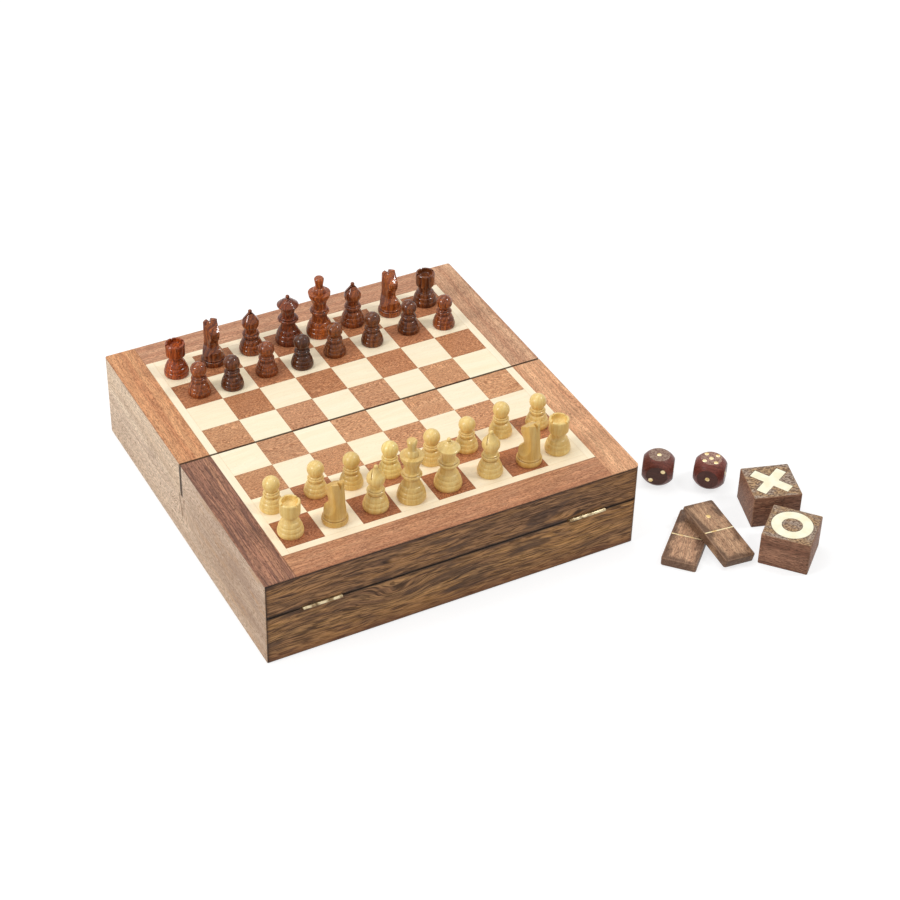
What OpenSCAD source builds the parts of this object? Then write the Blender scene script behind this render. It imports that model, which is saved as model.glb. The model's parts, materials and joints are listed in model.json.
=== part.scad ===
/* [Board] */
// Side of one square of the board
square_w = 25; // [18:0.5:32]
// Width of the pale line round the squares
pale_line_w = 5; // [2:0.5:10]
// Width of the brown strips at the outer edge
strip_w = 20; // [12:1:40]
// Thickness of the veneer that covers the lids
veneer_t = 0.6; // [0.4:0.1:1.5]
// Gap between neighbouring pieces of veneer, filled with dark glue
veneer_joint = 0.1; // [0.05:0.05:0.3]

/* [Box] */
// Height of the base, up to the seam
base_h = 35; // [28:1:60]
// Height of each half lid, from the seam to the playing surface
lid_h = 25; // [16:1:45]
// Thickness of the box walls
wall_t = 10; // [7:0.5:14]
// Thickness of the floor panel
floor_t = 4; // [3:0.5:7]
// Thickness of the panel under the veneer
panel_t = 6; // [4:0.5:9]
// How far the floor and the lid panels are let into the walls
rebate_w = 5; // [2:0.5:6]
// Width of the saw cut between the two half lids
saw_cut = 0.8; // [0.6:0.1:2]
// Rounding of the outer upright corners
corner_r = 1.5; // [0.5:0.5:4]
// Rounding of the front right corner, which is sanded more
worn_corner_r = 3.5; // [0.5:0.5:5]
// Rounding of the lower outer edges
foot_r = 1.5; // [0.5:0.5:3]
// Thickness of a glue line between boards
glue_line = 0.1; // [0.05:0.05:0.3]

/* [Hinges] */
// Length of a hinge
hinge_l = 25.4; // [16:0.2:38]
// From the side of the box to the middle of a hinge
hinge_inset = 36; // [24:1:60]
// Width of one leaf, from the pin's axis
leaf_w = 8; // [5:0.5:9]
// Thickness of a leaf
leaf_t = 0.9; // [0.6:0.1:1.2]
// Outside diameter of the knuckle
knuckle_d = 3.5; // [3:0.1:5]
// Diameter of the hinge pin
pin_d = 1.7; // [1.2:0.1:2]
// Radial play of the pin in the knuckles
pin_play = 0.05; // [0.02:0.01:0.1]
// How far the pin's axis stands out from the wall
pin_out = 0.6; // [0.3:0.1:2]
// Play round the knuckles
knuckle_play = 0.3; // [0.2:0.05:0.6]
// Length of the notch in the wall beyond each end of the knuckles
notch_l = 1.4; // [0.5:0.1:3]

/* [Inside of the base] */
// Thickness of the dividers
divider_t = 5; // [3:0.5:8]
// How far the dividers stay under the seam
divider_drop = 3; // [1:0.5:8]
// Play of the pieces in their wells, in all
well_play = 2; // [1:0.5:4]
// How many dominoes make the set
domino_count = 28; // [28:28]
// How many noughts and crosses blocks make the set
block_count = 9; // [9:9]

/* [Dominoes] */
// Length of a domino
domino_l = 50.5; // [40:0.5:60]
// Width of a domino
domino_w = 22.5; // [18:0.5:26]
// Thickness of a domino
domino_t = 6; // [4:0.5:7]
// Width and depth of the brass line across a domino
domino_line_w = 0.8; // [0.5:0.1:1.5]
// Gap between neighbouring dominoes in the trough
domino_gap = 0.15; // [0.1:0.05:0.3]

/* [Noughts and crosses blocks] */
// Side of a block
block_w = 31.5; // [24:0.5:34]
// Height of a block
block_h = 23.5; // [18:0.5:27]
// Length of a bar of the cross
cross_l = 27; // [18:0.5:30]
// Width of a bar of the cross
cross_bar_w = 6.8; // [4:0.2:9]
// Outer diameter of the nought
nought_d = 26; // [18:0.5:28]
// Inner diameter of the nought
nought_hole_d = 13; // [6:0.5:16]
// Depth of the inlay
inlay_t = 1.5; // [1:0.1:3]
// Width of the dark line of glue round an inlay
inlay_gap = 0.3; // [0.1:0.05:0.5]

/* [Dice] */
// Side of a die
die_w = 20; // [14:0.5:22]
// Diameter of the ball that rounds a die's corners, in sides of the die
die_ball = 1.3; // [1.2:0.02:1.5]
// Diameter of a pip, a brass pin
pip_d = 3; // [2:0.1:4]
// Depth of a pip
pip_depth = 1.5; // [1:0.1:2]
// Play of a pip in its hole
pip_play = 0.04; // [0.02:0.01:0.1]

/* [Chessmen] */
// Height of a king
king_h = 43; // [34:0.5:54]
// Diameter of a king's foot
king_d = 18.3; // [15:0.1:22]
// Height of a queen
queen_h = 35.5; // [28:0.5:44]
// Diameter of a queen's foot
queen_d = 17.7; // [14:0.1:21]
// Height of a bishop
bishop_h = 31.5; // [25:0.5:39]
// Diameter of a bishop's foot
bishop_d = 16.3; // [13:0.1:20]
// Height of a knight
knight_h = 30; // [24:0.5:37]
// Diameter of a knight's foot
knight_d = 16.5; // [13:0.1:20]
// Height of a rook
rook_h = 23.5; // [19:0.5:29]
// Diameter of a rook's foot
rook_d = 16.4; // [13:0.1:20]
// Height of a pawn
pawn_h = 23; // [18:0.5:29]
// Diameter of a pawn's foot
pawn_d = 15; // [11:0.1:18]

/* [Hidden] */
$fn = 48;
board_w = 8 * square_w;
box_w = board_w + 2 * (pale_line_w + strip_w);
box_h = base_h + lid_h;
well_w = box_w - 2 * wall_t;
half_cut = saw_cut / 2;
panel_top = box_h - veneer_t;
lid_bottom = box_h - veneer_t - panel_t;
hinge_x = box_w / 2 - hinge_inset;
knuckle_l = hinge_l / 3;
knuckle_cut_r = knuckle_d / 2 + knuckle_play;
divider_top = base_h - divider_drop;
blocks_in_row = sqrt(block_count);
block_well_w = blocks_in_row * block_w + well_play;
trough_w = domino_l + well_play;
domino_pitch = domino_t + domino_gap;
trough_l = domino_count * domino_pitch + well_play;
dominoes_out = 2;
blocks_out = 2;

/* Colours of the woods and of the brass */
pale_wood = "#f5e3bb";
square_wood = "#a9683f";
strip_wood = "#b9764c";
wall_wood = "#84603f";
ply_wood = "#c9a777";
block_wood = "#7d5a40";
die_wood = "#6f3a2b";
light_man_wood = "#ecd795";
dark_man_wood = "#6b3018";
brass = "#d9bd72";
inlay_colour = "#f7efcf";

/* Places and turns of the pieces that lie beside the box, off its front right corner */
CORNER = [box_w / 2, -box_w / 2];
LEFT_DIE_AT = CORNER + [46.5, 46.5];
LEFT_DIE_TURN = -38;
RIGHT_DIE_AT = CORNER + [74.5, 28.5];
RIGHT_DIE_TURN = -43.5;
CROSS_BLOCK_AT = CORNER + [93, -11.5];
CROSS_BLOCK_TURN = -17;
NOUGHT_BLOCK_AT = CORNER + [80, -53.5];
NOUGHT_BLOCK_TURN = -48.5;
LOWER_DOMINO_AT = CORNER + [29, -17.5];
LOWER_DOMINO_TURN = -46.5;
/* The upper domino as it would lie flat on the lower one; it is then tipped
   over the lower one's long edge until its corner meets the table */
UPPER_DOMINO_AT = CORNER + [45.5, -24.5];
UPPER_DOMINO_TURN = 1;

/* The chessmen: kind, file from the left, rank from the front,
   and how far each stands off the middle of its square */
FILES = ["a", "b", "c", "d", "e", "f", "g", "h"];
LIGHT_ROW = ["rook", "knight", "bishop", "king", "queen", "bishop", "knight", "rook"];
DARK_ROW = ["rook", "knight", "bishop", "queen", "king", "bishop", "knight", "rook"];
LIGHT_ROW_OFF = [[-4, 0], [-1, -1.5], [1, -1], [-1, -2.3], [-1, -1.5], [2.5, -2], [4, -3], [0.5, -0.5]];
LIGHT_PAWN_OFF = [[-4.5, 0.5], [0, 2], [-2.5, 0], [-2, -0.5], [1, -1], [1, 0.5], [2, 4.5], [1.5, 2]];
DARK_PAWN_OFF = [[2, 0], [-1.5, -2.5], [-1, 1.5], [-2.5, -1.5], [-3, 1.5], [-1, 1.5], [1.5, 3.5], [0, -1.5]];
DARK_ROW_OFF = [[-3, 0.5], [-2, 2], [0, 3], [1, 2.2], [-2, 1.2], [-2.5, 2.5], [0, 2.5], [1, 2.5]];

/* How the men of each side stand turned: they face one another, the light ones a little askew */
LIGHT_MEN_TURN = 15;
DARK_MEN_TURN = 180;

function man_name(side, kind, file) =
    (kind == "king" || kind == "queen") ? str(side, "_", kind) : str(side, "_", kind, "_", FILES[file]);

MEN = concat(
    [for (f = [0:7]) ["light", LIGHT_ROW[f], f, 0, LIGHT_ROW_OFF[f]]],
    [for (f = [0:7]) ["light", "pawn", f, 1, LIGHT_PAWN_OFF[f]]],
    [for (f = [0:7]) ["dark", "pawn", f, 6, DARK_PAWN_OFF[f]]],
    [for (f = [0:7]) ["dark", DARK_ROW[f], f, 7, DARK_ROW_OFF[f]]]
);

/* ---------- Box ---------- */

/* A square plate with rounded corners; the front right one is rounder */
module box_outline() {
    difference() {
        square(box_w, center = true);
        for (sx = [-1, 1], sy = [-1, 1]) {
            r = (sx == 1 && sy == -1) ? worn_corner_r : corner_r;
            translate([sx * (box_w / 2 - r), sy * (box_w / 2 - r)])
                difference() {
                    translate([sx * r, sy * r]) square(2 * r, center = true);
                    circle(r);
                }
        }
    }
}

/* One side's share of a mitred frame: the board along the front */
module mitred_board() {
    w = box_w / 2 - glue_line / 2;
    polygon([
        [-w, -box_w / 2], [w, -box_w / 2],
        [w - wall_t, wall_t - box_w / 2], [wall_t - w, wall_t - box_w / 2]
    ]);
}

/* The four boards of a frame, or the three that one half lid has */
module frame_boards(z, h, sides) {
    translate([0, 0, z])
        linear_extrude(h)
            for (a = sides)
                intersection() {
                    box_outline();
                    rotate(a) mitred_board();
                }
}

/* A square sheet that fills the rebates of the walls */
module rebated_sheet(z, t) {
    w = well_w + 2 * rebate_w;
    translate([-w / 2, -w / 2, z]) cube([w, w, t]);
}

/* Keeps what lies on one side of the saw cut: -1 front, 1 back */
module half_of(side) {
    intersection() {
        children();
        translate([-box_w, side > 0 ? half_cut : -box_w, 0]) cube([2 * box_w, box_w - half_cut, 2 * box_h]);
    }
}

/* A bar that cuts a quarter round along a lower outer edge at the front */
module foot_round() {
    translate([-box_w, -box_w / 2, 0])
        rotate([90, 0, 90])
            linear_extrude(2 * box_w)
                difference() {
                    translate([-foot_r, -foot_r]) square(2 * foot_r);
                    translate([foot_r, foot_r]) circle(foot_r);
                }
}

/* Puts a hinge's parts at its places: front and back, left and right */
module at_hinges(sides = [-1, 1]) {
    for (side = sides, sx = [-1, 1])
        translate([sx * hinge_x, side * (box_w / 2 + pin_out), base_h])
            rotate(side > 0 ? 180 : 0)
                children();
}

/* Room for one hinge in the walls above and below the seam */
module hinge_room() {
    translate([-hinge_l / 2, 0, -leaf_t]) cube([hinge_l, leaf_w, 2 * leaf_t]);
    rotate([0, 90, 0]) cylinder(r = knuckle_cut_r, h = hinge_l + 2 * notch_l, center = true);
}

/* The knuckles that belong to one leaf: the outer two, or the middle one */
module knuckle_segments(outer, r, play) {
    for (i = outer ? [-1, 1] : [0])
        translate([i * knuckle_l, 0, 0])
            rotate([0, 90, 0])
                cylinder(r = r, h = knuckle_l + 2 * play, center = true);
}

/* One leaf with its knuckles, its plate under (-1) or over (1) the seam */
module hinge_leaf(outer, dir) {
    difference() {
        union() {
            difference() {
                translate([-hinge_l / 2, 0, dir > 0 ? 0 : -leaf_t]) cube([hinge_l, leaf_w, leaf_t]);
                knuckle_segments(!outer, knuckle_cut_r, knuckle_play / 2);
            }
            knuckle_segments(outer, knuckle_d / 2, -knuckle_play / 4);
        }
        rotate([0, 90, 0]) cylinder(d = pin_d + 2 * pin_play, h = hinge_l + 1, center = true);
    }
}

module base_walls() {
    color(wall_wood)
        difference() {
            frame_boards(0, base_h, [0, 90, 180, 270]);
            rebated_sheet(-1, floor_t + 1);
            for (a = [0, 90, 180, 270]) rotate(a) foot_round();
            at_hinges() hinge_room();
        }
}

module base_floor() {
    color(ply_wood) rebated_sheet(0, floor_t);
}

/* Wells, from the left: blocks in front and light men behind, then dark men,
   then dominoes in front and dice behind */
divider_left_x = -well_w / 2 + block_well_w;
divider_right_x = well_w / 2 - trough_w - divider_t;
divider_blocks_y = -well_w / 2 + block_well_w;
divider_dice_y = -well_w / 2 + trough_l;

module divider(x, y, l, w) {
    translate([x, y, floor_t]) cube([l, w, divider_top - floor_t]);
}

module base_dividers() {
    color(ply_wood) {
        divider(divider_left_x, -well_w / 2, divider_t, well_w);
        divider(divider_right_x, -well_w / 2, divider_t, well_w);
        divider(-well_w / 2, divider_blocks_y, block_well_w - glue_line, divider_t);
        divider(divider_right_x + divider_t + glue_line, divider_dice_y, trough_w - glue_line, divider_t);
    }
}

module base_hinge_leaves() {
    color(brass) at_hinges() hinge_leaf(true, -1);
}

module hinge_pins() {
    color(brass) at_hinges() rotate([0, 90, 0]) cylinder(d = pin_d, h = hinge_l, center = true);
}

/* ---------- Half lids ---------- */

module lid_walls(side) {
    color(wall_wood)
        difference() {
            half_of(side)
                frame_boards(base_h, lid_h - veneer_t, side < 0 ? [0, 90, 270] : [180, 90, 270]);
            rebated_sheet(lid_bottom, panel_t + 1);
            at_hinges([side]) hinge_room();
        }
}

module lid_panel(side) {
    color(ply_wood) half_of(side) rebated_sheet(lid_bottom, panel_t);
}

/* A flat piece of veneer from corner p to corner q, less the glue joint all round */
module veneer(p, q) {
    j = veneer_joint / 2;
    translate([p[0] + j, p[1] + j, panel_top]) cube([q[0] - p[0] - 2 * j, q[1] - p[1] - 2 * j, veneer_t]);
}

module lid_edging(side) {
    e = box_w / 2;
    i = e - strip_w;
    color(strip_wood)
        half_of(side)
            intersection() {
                union() {
                    veneer([-e, -e], [-i, e]);
                    veneer([i, -e], [e, e]);
                    veneer([-i, -e], [i, -i]);
                    veneer([-i, i], [i, e]);
                }
                translate([0, 0, panel_top]) linear_extrude(veneer_t) box_outline();
            }
}

/* Squares of one colour: 0 dark, 1 pale; the square at the front left is dark */
module squares(colour) {
    for (f = [0:7], r = [0:7])
        if ((f + r) % 2 == colour)
            veneer([(f - 4) * square_w, (r - 4) * square_w], [(f - 3) * square_w, (r - 3) * square_w]);
}

module lid_pale_veneer(side) {
    o = board_w / 2 + pale_line_w;
    i = board_w / 2;
    color(pale_wood)
        half_of(side) {
            squares(1);
            veneer([-o, -o], [-i, o]);
            veneer([i, -o], [o, o]);
            veneer([-i, -o], [i, -i]);
            veneer([-i, i], [i, o]);
        }
}

module lid_dark_squares(side) {
    color(square_wood) half_of(side) squares(0);
}

module lid_hinge_leaves(side) {
    color(brass) at_hinges([side]) hinge_leaf(false, 1);
}

/* ---------- Dominoes ---------- */

/* Where the pips of a number sit, in thirds of the face */
function pip_spots(n) = concat(
    n % 2 == 1 ? [[0, 0]] : [],
    n >= 2 ? [[-1, -1], [1, 1]] : [],
    n >= 4 ? [[-1, 1], [1, -1]] : [],
    n == 6 ? [[0, -1], [0, 1]] : []
);

/* A domino lying on the table, long way along Y, with its brass line and pips:
   the number of the far half, then that of the near half */
module domino(far, near) {
    line_t = domino_line_w;
    spread = domino_w / 4;
    spots = concat(
        [for (s = pip_spots(far)) [s[0] * spread, s[1] * spread + domino_l / 4]],
        [for (s = pip_spots(near)) [s[0] * spread, s[1] * spread - domino_l / 4]]
    );
    color(block_wood)
        difference() {
            translate([-domino_w / 2, -domino_l / 2, 0]) cube([domino_w, domino_l, domino_t]);
            translate([-domino_w, -line_t / 2 - pip_play, domino_t - line_t - pip_play])
                cube([2 * domino_w, line_t + 2 * pip_play, 2 * line_t]);
            for (s = spots)
                translate([s[0], s[1], domino_t - pip_depth]) cylinder(d = pip_d + 2 * pip_play, h = 2 * pip_depth);
        }
    color(brass) {
        translate([-domino_w / 2, -line_t / 2, domino_t - line_t]) cube([domino_w, line_t, line_t]);
        for (s = spots)
            translate([s[0], s[1], domino_t - pip_depth + pip_play]) cylinder(d = pip_d, h = pip_depth - pip_play);
    }
}

/* Room left where the two dominoes touch */
rest_gap = 0.05;

/* The lower domino's long edge, and how far beyond it, in plan,
   the upper domino's near right corner lies */
function turned(p, a) = [p[0] * cos(a) - p[1] * sin(a), p[0] * sin(a) + p[1] * cos(a)];
upper_corner = UPPER_DOMINO_AT + turned([domino_w / 2, -domino_l / 2], UPPER_DOMINO_TURN);
edge_dir = turned([0, 1], LOWER_DOMINO_TURN);
edge_out = turned([1, 0], LOWER_DOMINO_TURN);
edge_at = LOWER_DOMINO_AT + edge_out * domino_w / 2;
corner_reach = (upper_corner - edge_at) * edge_out;
upper_lean = asin((domino_t + rest_gap) / corner_reach);

module lower_domino() {
    translate(LOWER_DOMINO_AT) rotate(LOWER_DOMINO_TURN) domino(0, 0);
}

module upper_domino() {
    translate([edge_at[0], edge_at[1], domino_t + rest_gap])
        rotate(a = upper_lean, v = [edge_dir[0], edge_dir[1], 0])
            translate(UPPER_DOMINO_AT - edge_at)
                rotate(UPPER_DOMINO_TURN)
                    domino(1, 0);
}

/* The other dominoes stand on edge in the trough, against its far end */
module stored_dominoes() {
    x = well_w / 2 - trough_w / 2;
    y0 = divider_dice_y - well_play / 2;
    color(block_wood)
        for (i = [0:domino_count - dominoes_out - 1])
            translate([x - domino_l / 2, y0 - i * domino_pitch - domino_t, floor_t])
                cube([domino_l, domino_t, domino_w]);
}

/* ---------- Noughts and crosses ---------- */

module cross_shape(grow) {
    for (a = [45, 135])
        rotate(a) square([cross_l + 2 * grow, cross_bar_w + 2 * grow], center = true);
}

module nought_shape(grow) {
    difference() {
        circle(d = nought_d + 2 * grow);
        circle(d = nought_hole_d - 2 * grow);
    }
}

/* One of the two figures: true for the cross */
module figure(is_cross, grow) {
    if (is_cross) cross_shape(grow);
    else nought_shape(grow);
}

module block(is_cross) {
    difference() {
        translate([-block_w / 2, -block_w / 2, 0]) cube([block_w, block_w, block_h]);
        translate([0, 0, block_h - inlay_t]) linear_extrude(2 * inlay_t) figure(is_cross, inlay_gap);
    }
}

module block_inlay(is_cross) {
    translate([0, 0, block_h - inlay_t]) linear_extrude(inlay_t) figure(is_cross, 0);
}

module cross_block() {
    color(block_wood) translate(CROSS_BLOCK_AT) rotate(CROSS_BLOCK_TURN) block(true);
}

module cross_inlay() {
    color(inlay_colour) translate(CROSS_BLOCK_AT) rotate(CROSS_BLOCK_TURN) block_inlay(true);
}

module nought_block() {
    color(block_wood) translate(NOUGHT_BLOCK_AT) rotate(NOUGHT_BLOCK_TURN) block(false);
}

module nought_inlay() {
    color(inlay_colour) translate(NOUGHT_BLOCK_AT) rotate(NOUGHT_BLOCK_TURN) block_inlay(false);
}

/* The stored blocks fill their well but for the first places of the front row */
module at_stored_blocks(wanted) {
    pitch = block_well_w / blocks_in_row;
    for (i = [blocks_out:block_count - 1]) {
        column = i % blocks_in_row;
        row = floor(i / blocks_in_row);
        is_cross = i % 2 == 0;
        x = (column + 0.5) * pitch - well_w / 2;
        y = (row + 0.5) * pitch - well_w / 2;
        if (is_cross == wanted) translate([x, y, floor_t]) children();
    }
}

module stored_blocks() {
    color(block_wood)
        for (c = [true, false]) at_stored_blocks(c) block(c);
}

module stored_block_inlays() {
    color(inlay_colour)
        for (c = [true, false]) at_stored_blocks(c) block_inlay(c);
}

/* ---------- Dice ---------- */

/* From the middle of a die's face to its outer pips, across */
pip_spread = 0.185 * die_w;

/* Puts its children on one face of a die, for each pip of a number */
module on_face(turn, n) {
    rotate(turn)
        for (s = pip_spots(n))
            translate([s[0] * pip_spread, s[1] * pip_spread, die_w / 2])
                children();
}

/* All the pips of a die, by the numbers on its top, front and right faces */
module on_die(top, front, right) {
    on_face([0, 0, 0], top) children();
    on_face([180, 0, 0], 7 - top) children();
    on_face([90, 0, 0], front) children();
    on_face([-90, 0, 0], 7 - front) children();
    on_face([0, 90, 0], right) children();
    on_face([0, -90, 0], 7 - right) children();
}

module die(top, front, right) {
    translate([0, 0, die_w / 2]) {
        color(die_wood)
            difference() {
                intersection() {
                    cube(die_w, center = true);
                    sphere(d = die_w * die_ball);
                }
                on_die(top, front, right)
                    translate([0, 0, -pip_depth]) cylinder(d = pip_d + 2 * pip_play, h = 2 * pip_depth);
            }
        color(brass)
            on_die(top, front, right)
                translate([0, 0, pip_play - pip_depth]) cylinder(d = pip_d, h = pip_depth - pip_play);
    }
}

module left_die() {
    translate(LEFT_DIE_AT) rotate(LEFT_DIE_TURN) die(1, 2, 3);
}

module right_die() {
    translate(RIGHT_DIE_AT) rotate(RIGHT_DIE_TURN) die(5, 1, 3);
}

/* ---------- Chessmen ---------- */
/* Turned shapes are drawn as half outlines, radius across and height up */

/* A straight-sided stretch between two heights */
module taper(r1, z1, r2, z2) {
    polygon([[0, z1], [r1, z1], [r2, z2], [0, z2]]);
}

/* Centre of the arc through two points of the outline; a positive bulge is outwards */
function arc_r(c, bulge) = (c * c / 4 + bulge * bulge) / (2 * abs(bulge));
function arc_centre(p, q, bulge) =
    let (c = norm(q - p), out = [q[1] - p[1], p[0] - q[0]] / c)
    (p + q) / 2 + out * (bulge > 0 ? bulge - arc_r(c, bulge) : bulge + arc_r(c, bulge));

/* A stretch hollowed by an arc of the given depth. The stretch starts a little
   outside the arc, so that only the arc shows */
module cove(r1, z1, r2, z2, depth) {
    over = depth / 10;
    difference() {
        taper(r1 + over, z1, r2 + over, z2);
        translate(arc_centre([r1, z1], [r2, z2], -depth)) circle(arc_r(norm([r2 - r1, z2 - z1]), depth));
    }
}

/* A stretch that swells by an arc of the given height. Its straight core stays
   inside the arc, so that only the arc shows */
module swell(r1, z1, r2, z2, rise) {
    core = rise / 10;
    taper(r1 - core, z1, r2 - core, z2);
    intersection() {
        translate(arc_centre([r1, z1], [r2, z2], rise)) circle(arc_r(norm([r2 - r1, z2 - z1]), rise));
        translate([0, z1]) square([2 * (r1 + r2 + rise), z2 - z1]);
    }
}

/* A ring with a half-round edge */
module bead(r, z, t) {
    translate([0, z - t / 2]) square([r - t / 2, t]);
    translate([r - t / 2, z]) circle(d = t);
}

/* Keeps the half outline on its own side of the axis and turns it */
module turn(h) {
    rotate_extrude()
        intersection() {
            children();
            square([h, h]);
        }
}

/* The plinth that all the men stand on, its lower edge eased */
module plinth(r) {
    taper(r * 0.93, 0, r * 0.96, r * 0.07);
    swell(r * 0.96, r * 0.07, r * 0.94, r * 0.45, r * 0.03);
}

/* The bell of a turned man: two round steps up from the plinth to the waist */
module foot(r) {
    plinth(r);
    swell(r * 0.91, r * 0.45, r * 0.83, r * 0.8, r * 0.03);
    swell(r * 0.79, r * 0.8, r * 0.67, r * 1.15, r * 0.03);
}

/* The collar: a wide ring between two small ones */
module collar_rings(r, z, wide, low, high) {
    bead(low, z - r * 0.175, r * 0.15);
    bead(wide, z, r * 0.21);
    bead(high, z + r * 0.175, r * 0.15);
}

module pawn(h, r) {
    ball = r * 0.7;
    collar = h * 0.49;
    turn(h) {
        foot(r);
        cove(r * 0.64, r * 1.1, r * 0.54, collar, r * 0.03);
        collar_rings(r, collar, r * 0.68, r * 0.6, r * 0.58);
        taper(r * 0.5, collar, r * 0.5, collar + r * 0.38);
        translate([0, h - ball]) circle(ball);
    }
}

module rook(h, r) {
    neck = h * 0.54;
    cup = h * 0.64;
    hole = r * 0.52;
    slot = r * 0.14;
    difference() {
        turn(h) {
            foot(r);
            cove(r * 0.64, r * 1.1, r * 0.5, neck, r * 0.05);
            bead(r * 0.6, neck + r * 0.06, r * 0.13);
            swell(r * 0.57, neck + r * 0.1, r * 0.755, cup, r * 0.04);
            taper(r * 0.755, cup, r * 0.775, h - r * 0.06);
            taper(r * 0.775, h - r * 0.06, r * 0.73, h);
        }
        translate([0, 0, h - r * 0.4]) cylinder(r = hole, h = h);
        for (a = [0, 90])
            rotate(a) translate([-r, -slot / 2, h - r * 0.13]) cube([2 * r, slot, h]);
    }
}

/* The bishop's mitre is a ball drawn out to a point, with a steep saw cut
   in front of the tip */
module bishop(h, r) {
    collar = h * 0.41;
    head = r * 0.69;
    head_z = h * 0.68;
    tip = r * 0.16;
    slope = 62;
    difference() {
        turn(h) {
            foot(r);
            cove(r * 0.64, r * 1.1, r * 0.5, collar, r * 0.03);
            collar_rings(r, collar, r * 0.69, r * 0.6, r * 0.61);
            taper(r * 0.46, collar, r * 0.46, head_z);
            translate([0, head_z]) circle(head);
            taper(r * 0.52, head_z + r * 0.45, r * 0.13, h * 0.94);
            translate([0, h - tip]) circle(tip);
        }
        translate([-r, -r * 0.17, head_z + r * 0.23]) rotate([slope, 0, 0]) cube([2 * r, r, r * 0.07]);
    }
}

module queen(h, r) {
    collar = h * 0.49;
    rim = h * 0.79;
    step = h * 0.875;
    tip = r * 0.15;
    turn(h) {
        foot(r);
        cove(r * 0.64, r * 1.1, r * 0.5, collar, r * 0.05);
        collar_rings(r, collar, r * 0.77, r * 0.62, r * 0.65);
        taper(r * 0.47, collar, r * 0.47, collar + r * 0.4);
        cove(r * 0.47, collar + r * 0.3, r * 0.68, rim - r * 0.06, r * 0.06);
        bead(r * 0.8, rim, r * 0.2);
        swell(r * 0.72, rim + r * 0.07, r * 0.42, step, r * 0.03);
        bead(r * 0.42, step, r * 0.1);
        cove(r * 0.38, step, r * 0.11, h - 1.6 * tip, r * 0.03);
        translate([0, h - tip]) circle(tip);
    }
}

module king(h, r) {
    collar = h * 0.415;
    rim = h * 0.745;
    cone = rim + r * 0.4;
    knob = h * 0.875;
    turn(h) {
        foot(r);
        cove(r * 0.62, r * 1.1, r * 0.5, collar, r * 0.03);
        collar_rings(r, collar, r * 0.7, r * 0.6, r * 0.62);
        taper(r * 0.48, collar, r * 0.48, collar + r * 0.5);
        cove(r * 0.48, collar + r * 0.4, r * 0.68, rim - r * 0.45, r * 0.04);
        swell(r * 0.7, rim - r * 0.45, r * 0.8, rim, r * 0.03);
        swell(r * 0.48, rim, r * 0.34, cone, r * 0.04);
        taper(r * 0.29, cone, r * 0.28, knob);
        taper(r * 0.28, knob, r * 0.36, h - r * 0.1);
        taper(r * 0.36, h - r * 0.1, r * 0.28, h);
    }
}

/* Side view of the knight's neck and head, facing right: the ears, the sloping face,
   the muzzle, the throat and the chest. The back of the neck stays as it was turned */
module knight_profile(h, r) {
    difference() {
        polygon([
            [-r * 0.95, h * 0.05], [-r * 0.95, h * 1.1], [-r * 0.53, h * 1.1], [-r * 0.22, h * 0.965],
            [r * 0.6, h * 0.825], [r * 0.68, h * 0.785], [r * 0.66, h * 0.685], [r * 0.5, h * 0.65],
            [r * 0.95, h * 0.24], [r * 0.95, h * 0.05]
        ]);
        translate([r * 0.92, h * 0.5]) circle(r * 0.62);
        translate([r * 0.38, h * 0.715]) rotate(-8) square([r, h * 0.016]);
    }
}

/* What a round cutter takes off one side of the knight, from the mane forward:
   a flat cheek that runs down into a hollow and out again over the foot */
module knight_side_cut(h, r) {
    cutter_r = h * 0.34;
    cutter_z = h * 0.5;
    cheek = r * 0.37;
    toe_in = 8;
    lean_out = 5;
    rotate(toe_in)
        rotate([90, 0, 0])
            linear_extrude(4 * r, center = true)
                translate([cheek + cutter_r, cutter_z]) {
                    circle(cutter_r);
                    rotate(-lean_out) translate([-cutter_r * 0.99, 0]) square([cutter_r, h]);
                }
}

/* The notch between the ears, deeper towards the back of the neck */
module ear_notch(h, r) {
    slope = 38;
    translate([0, -r * 0.7, h * 0.85])
        rotate([90 + slope, 0, 0])
            linear_extrude(4 * r, center = true)
                polygon([[0, 0], [r * 0.3, h * 0.2], [-r * 0.3, h * 0.2]]);
}

module knight(h, r) {
    turn(h) {
        plinth(r);
        bead(r * 0.89, r * 0.53, r * 0.17);
    }
    difference() {
        intersection() {
            turn(h) taper(r * 0.85, h * 0.08, r * 0.67, h);
            translate([-r, 0, 0]) rotate([90, 0, 90]) linear_extrude(2 * r) knight_profile(h, r);
        }
        knight_side_cut(h, r);
        mirror([1, 0, 0]) knight_side_cut(h, r);
        ear_notch(h, r);
    }
}

/* A man by its kind, standing at the origin and facing away along Y */
module man(kind) {
    if (kind == "king") king(king_h, king_d / 2);
    else if (kind == "queen") queen(queen_h, queen_d / 2);
    else if (kind == "bishop") bishop(bishop_h, bishop_d / 2);
    else if (kind == "knight") knight(knight_h, knight_d / 2);
    else if (kind == "rook") rook(rook_h, rook_d / 2);
    else pawn(pawn_h, pawn_d / 2);
}

module placed_man(m) {
    is_light = m[0] == "light";
    color(is_light ? light_man_wood : dark_man_wood)
        translate([(m[2] - 3.5) * square_w + m[4][0], (m[3] - 3.5) * square_w + m[4][1], box_h])
            rotate(is_light ? LIGHT_MEN_TURN : DARK_MEN_TURN)
                man(m[1]);
}

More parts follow.
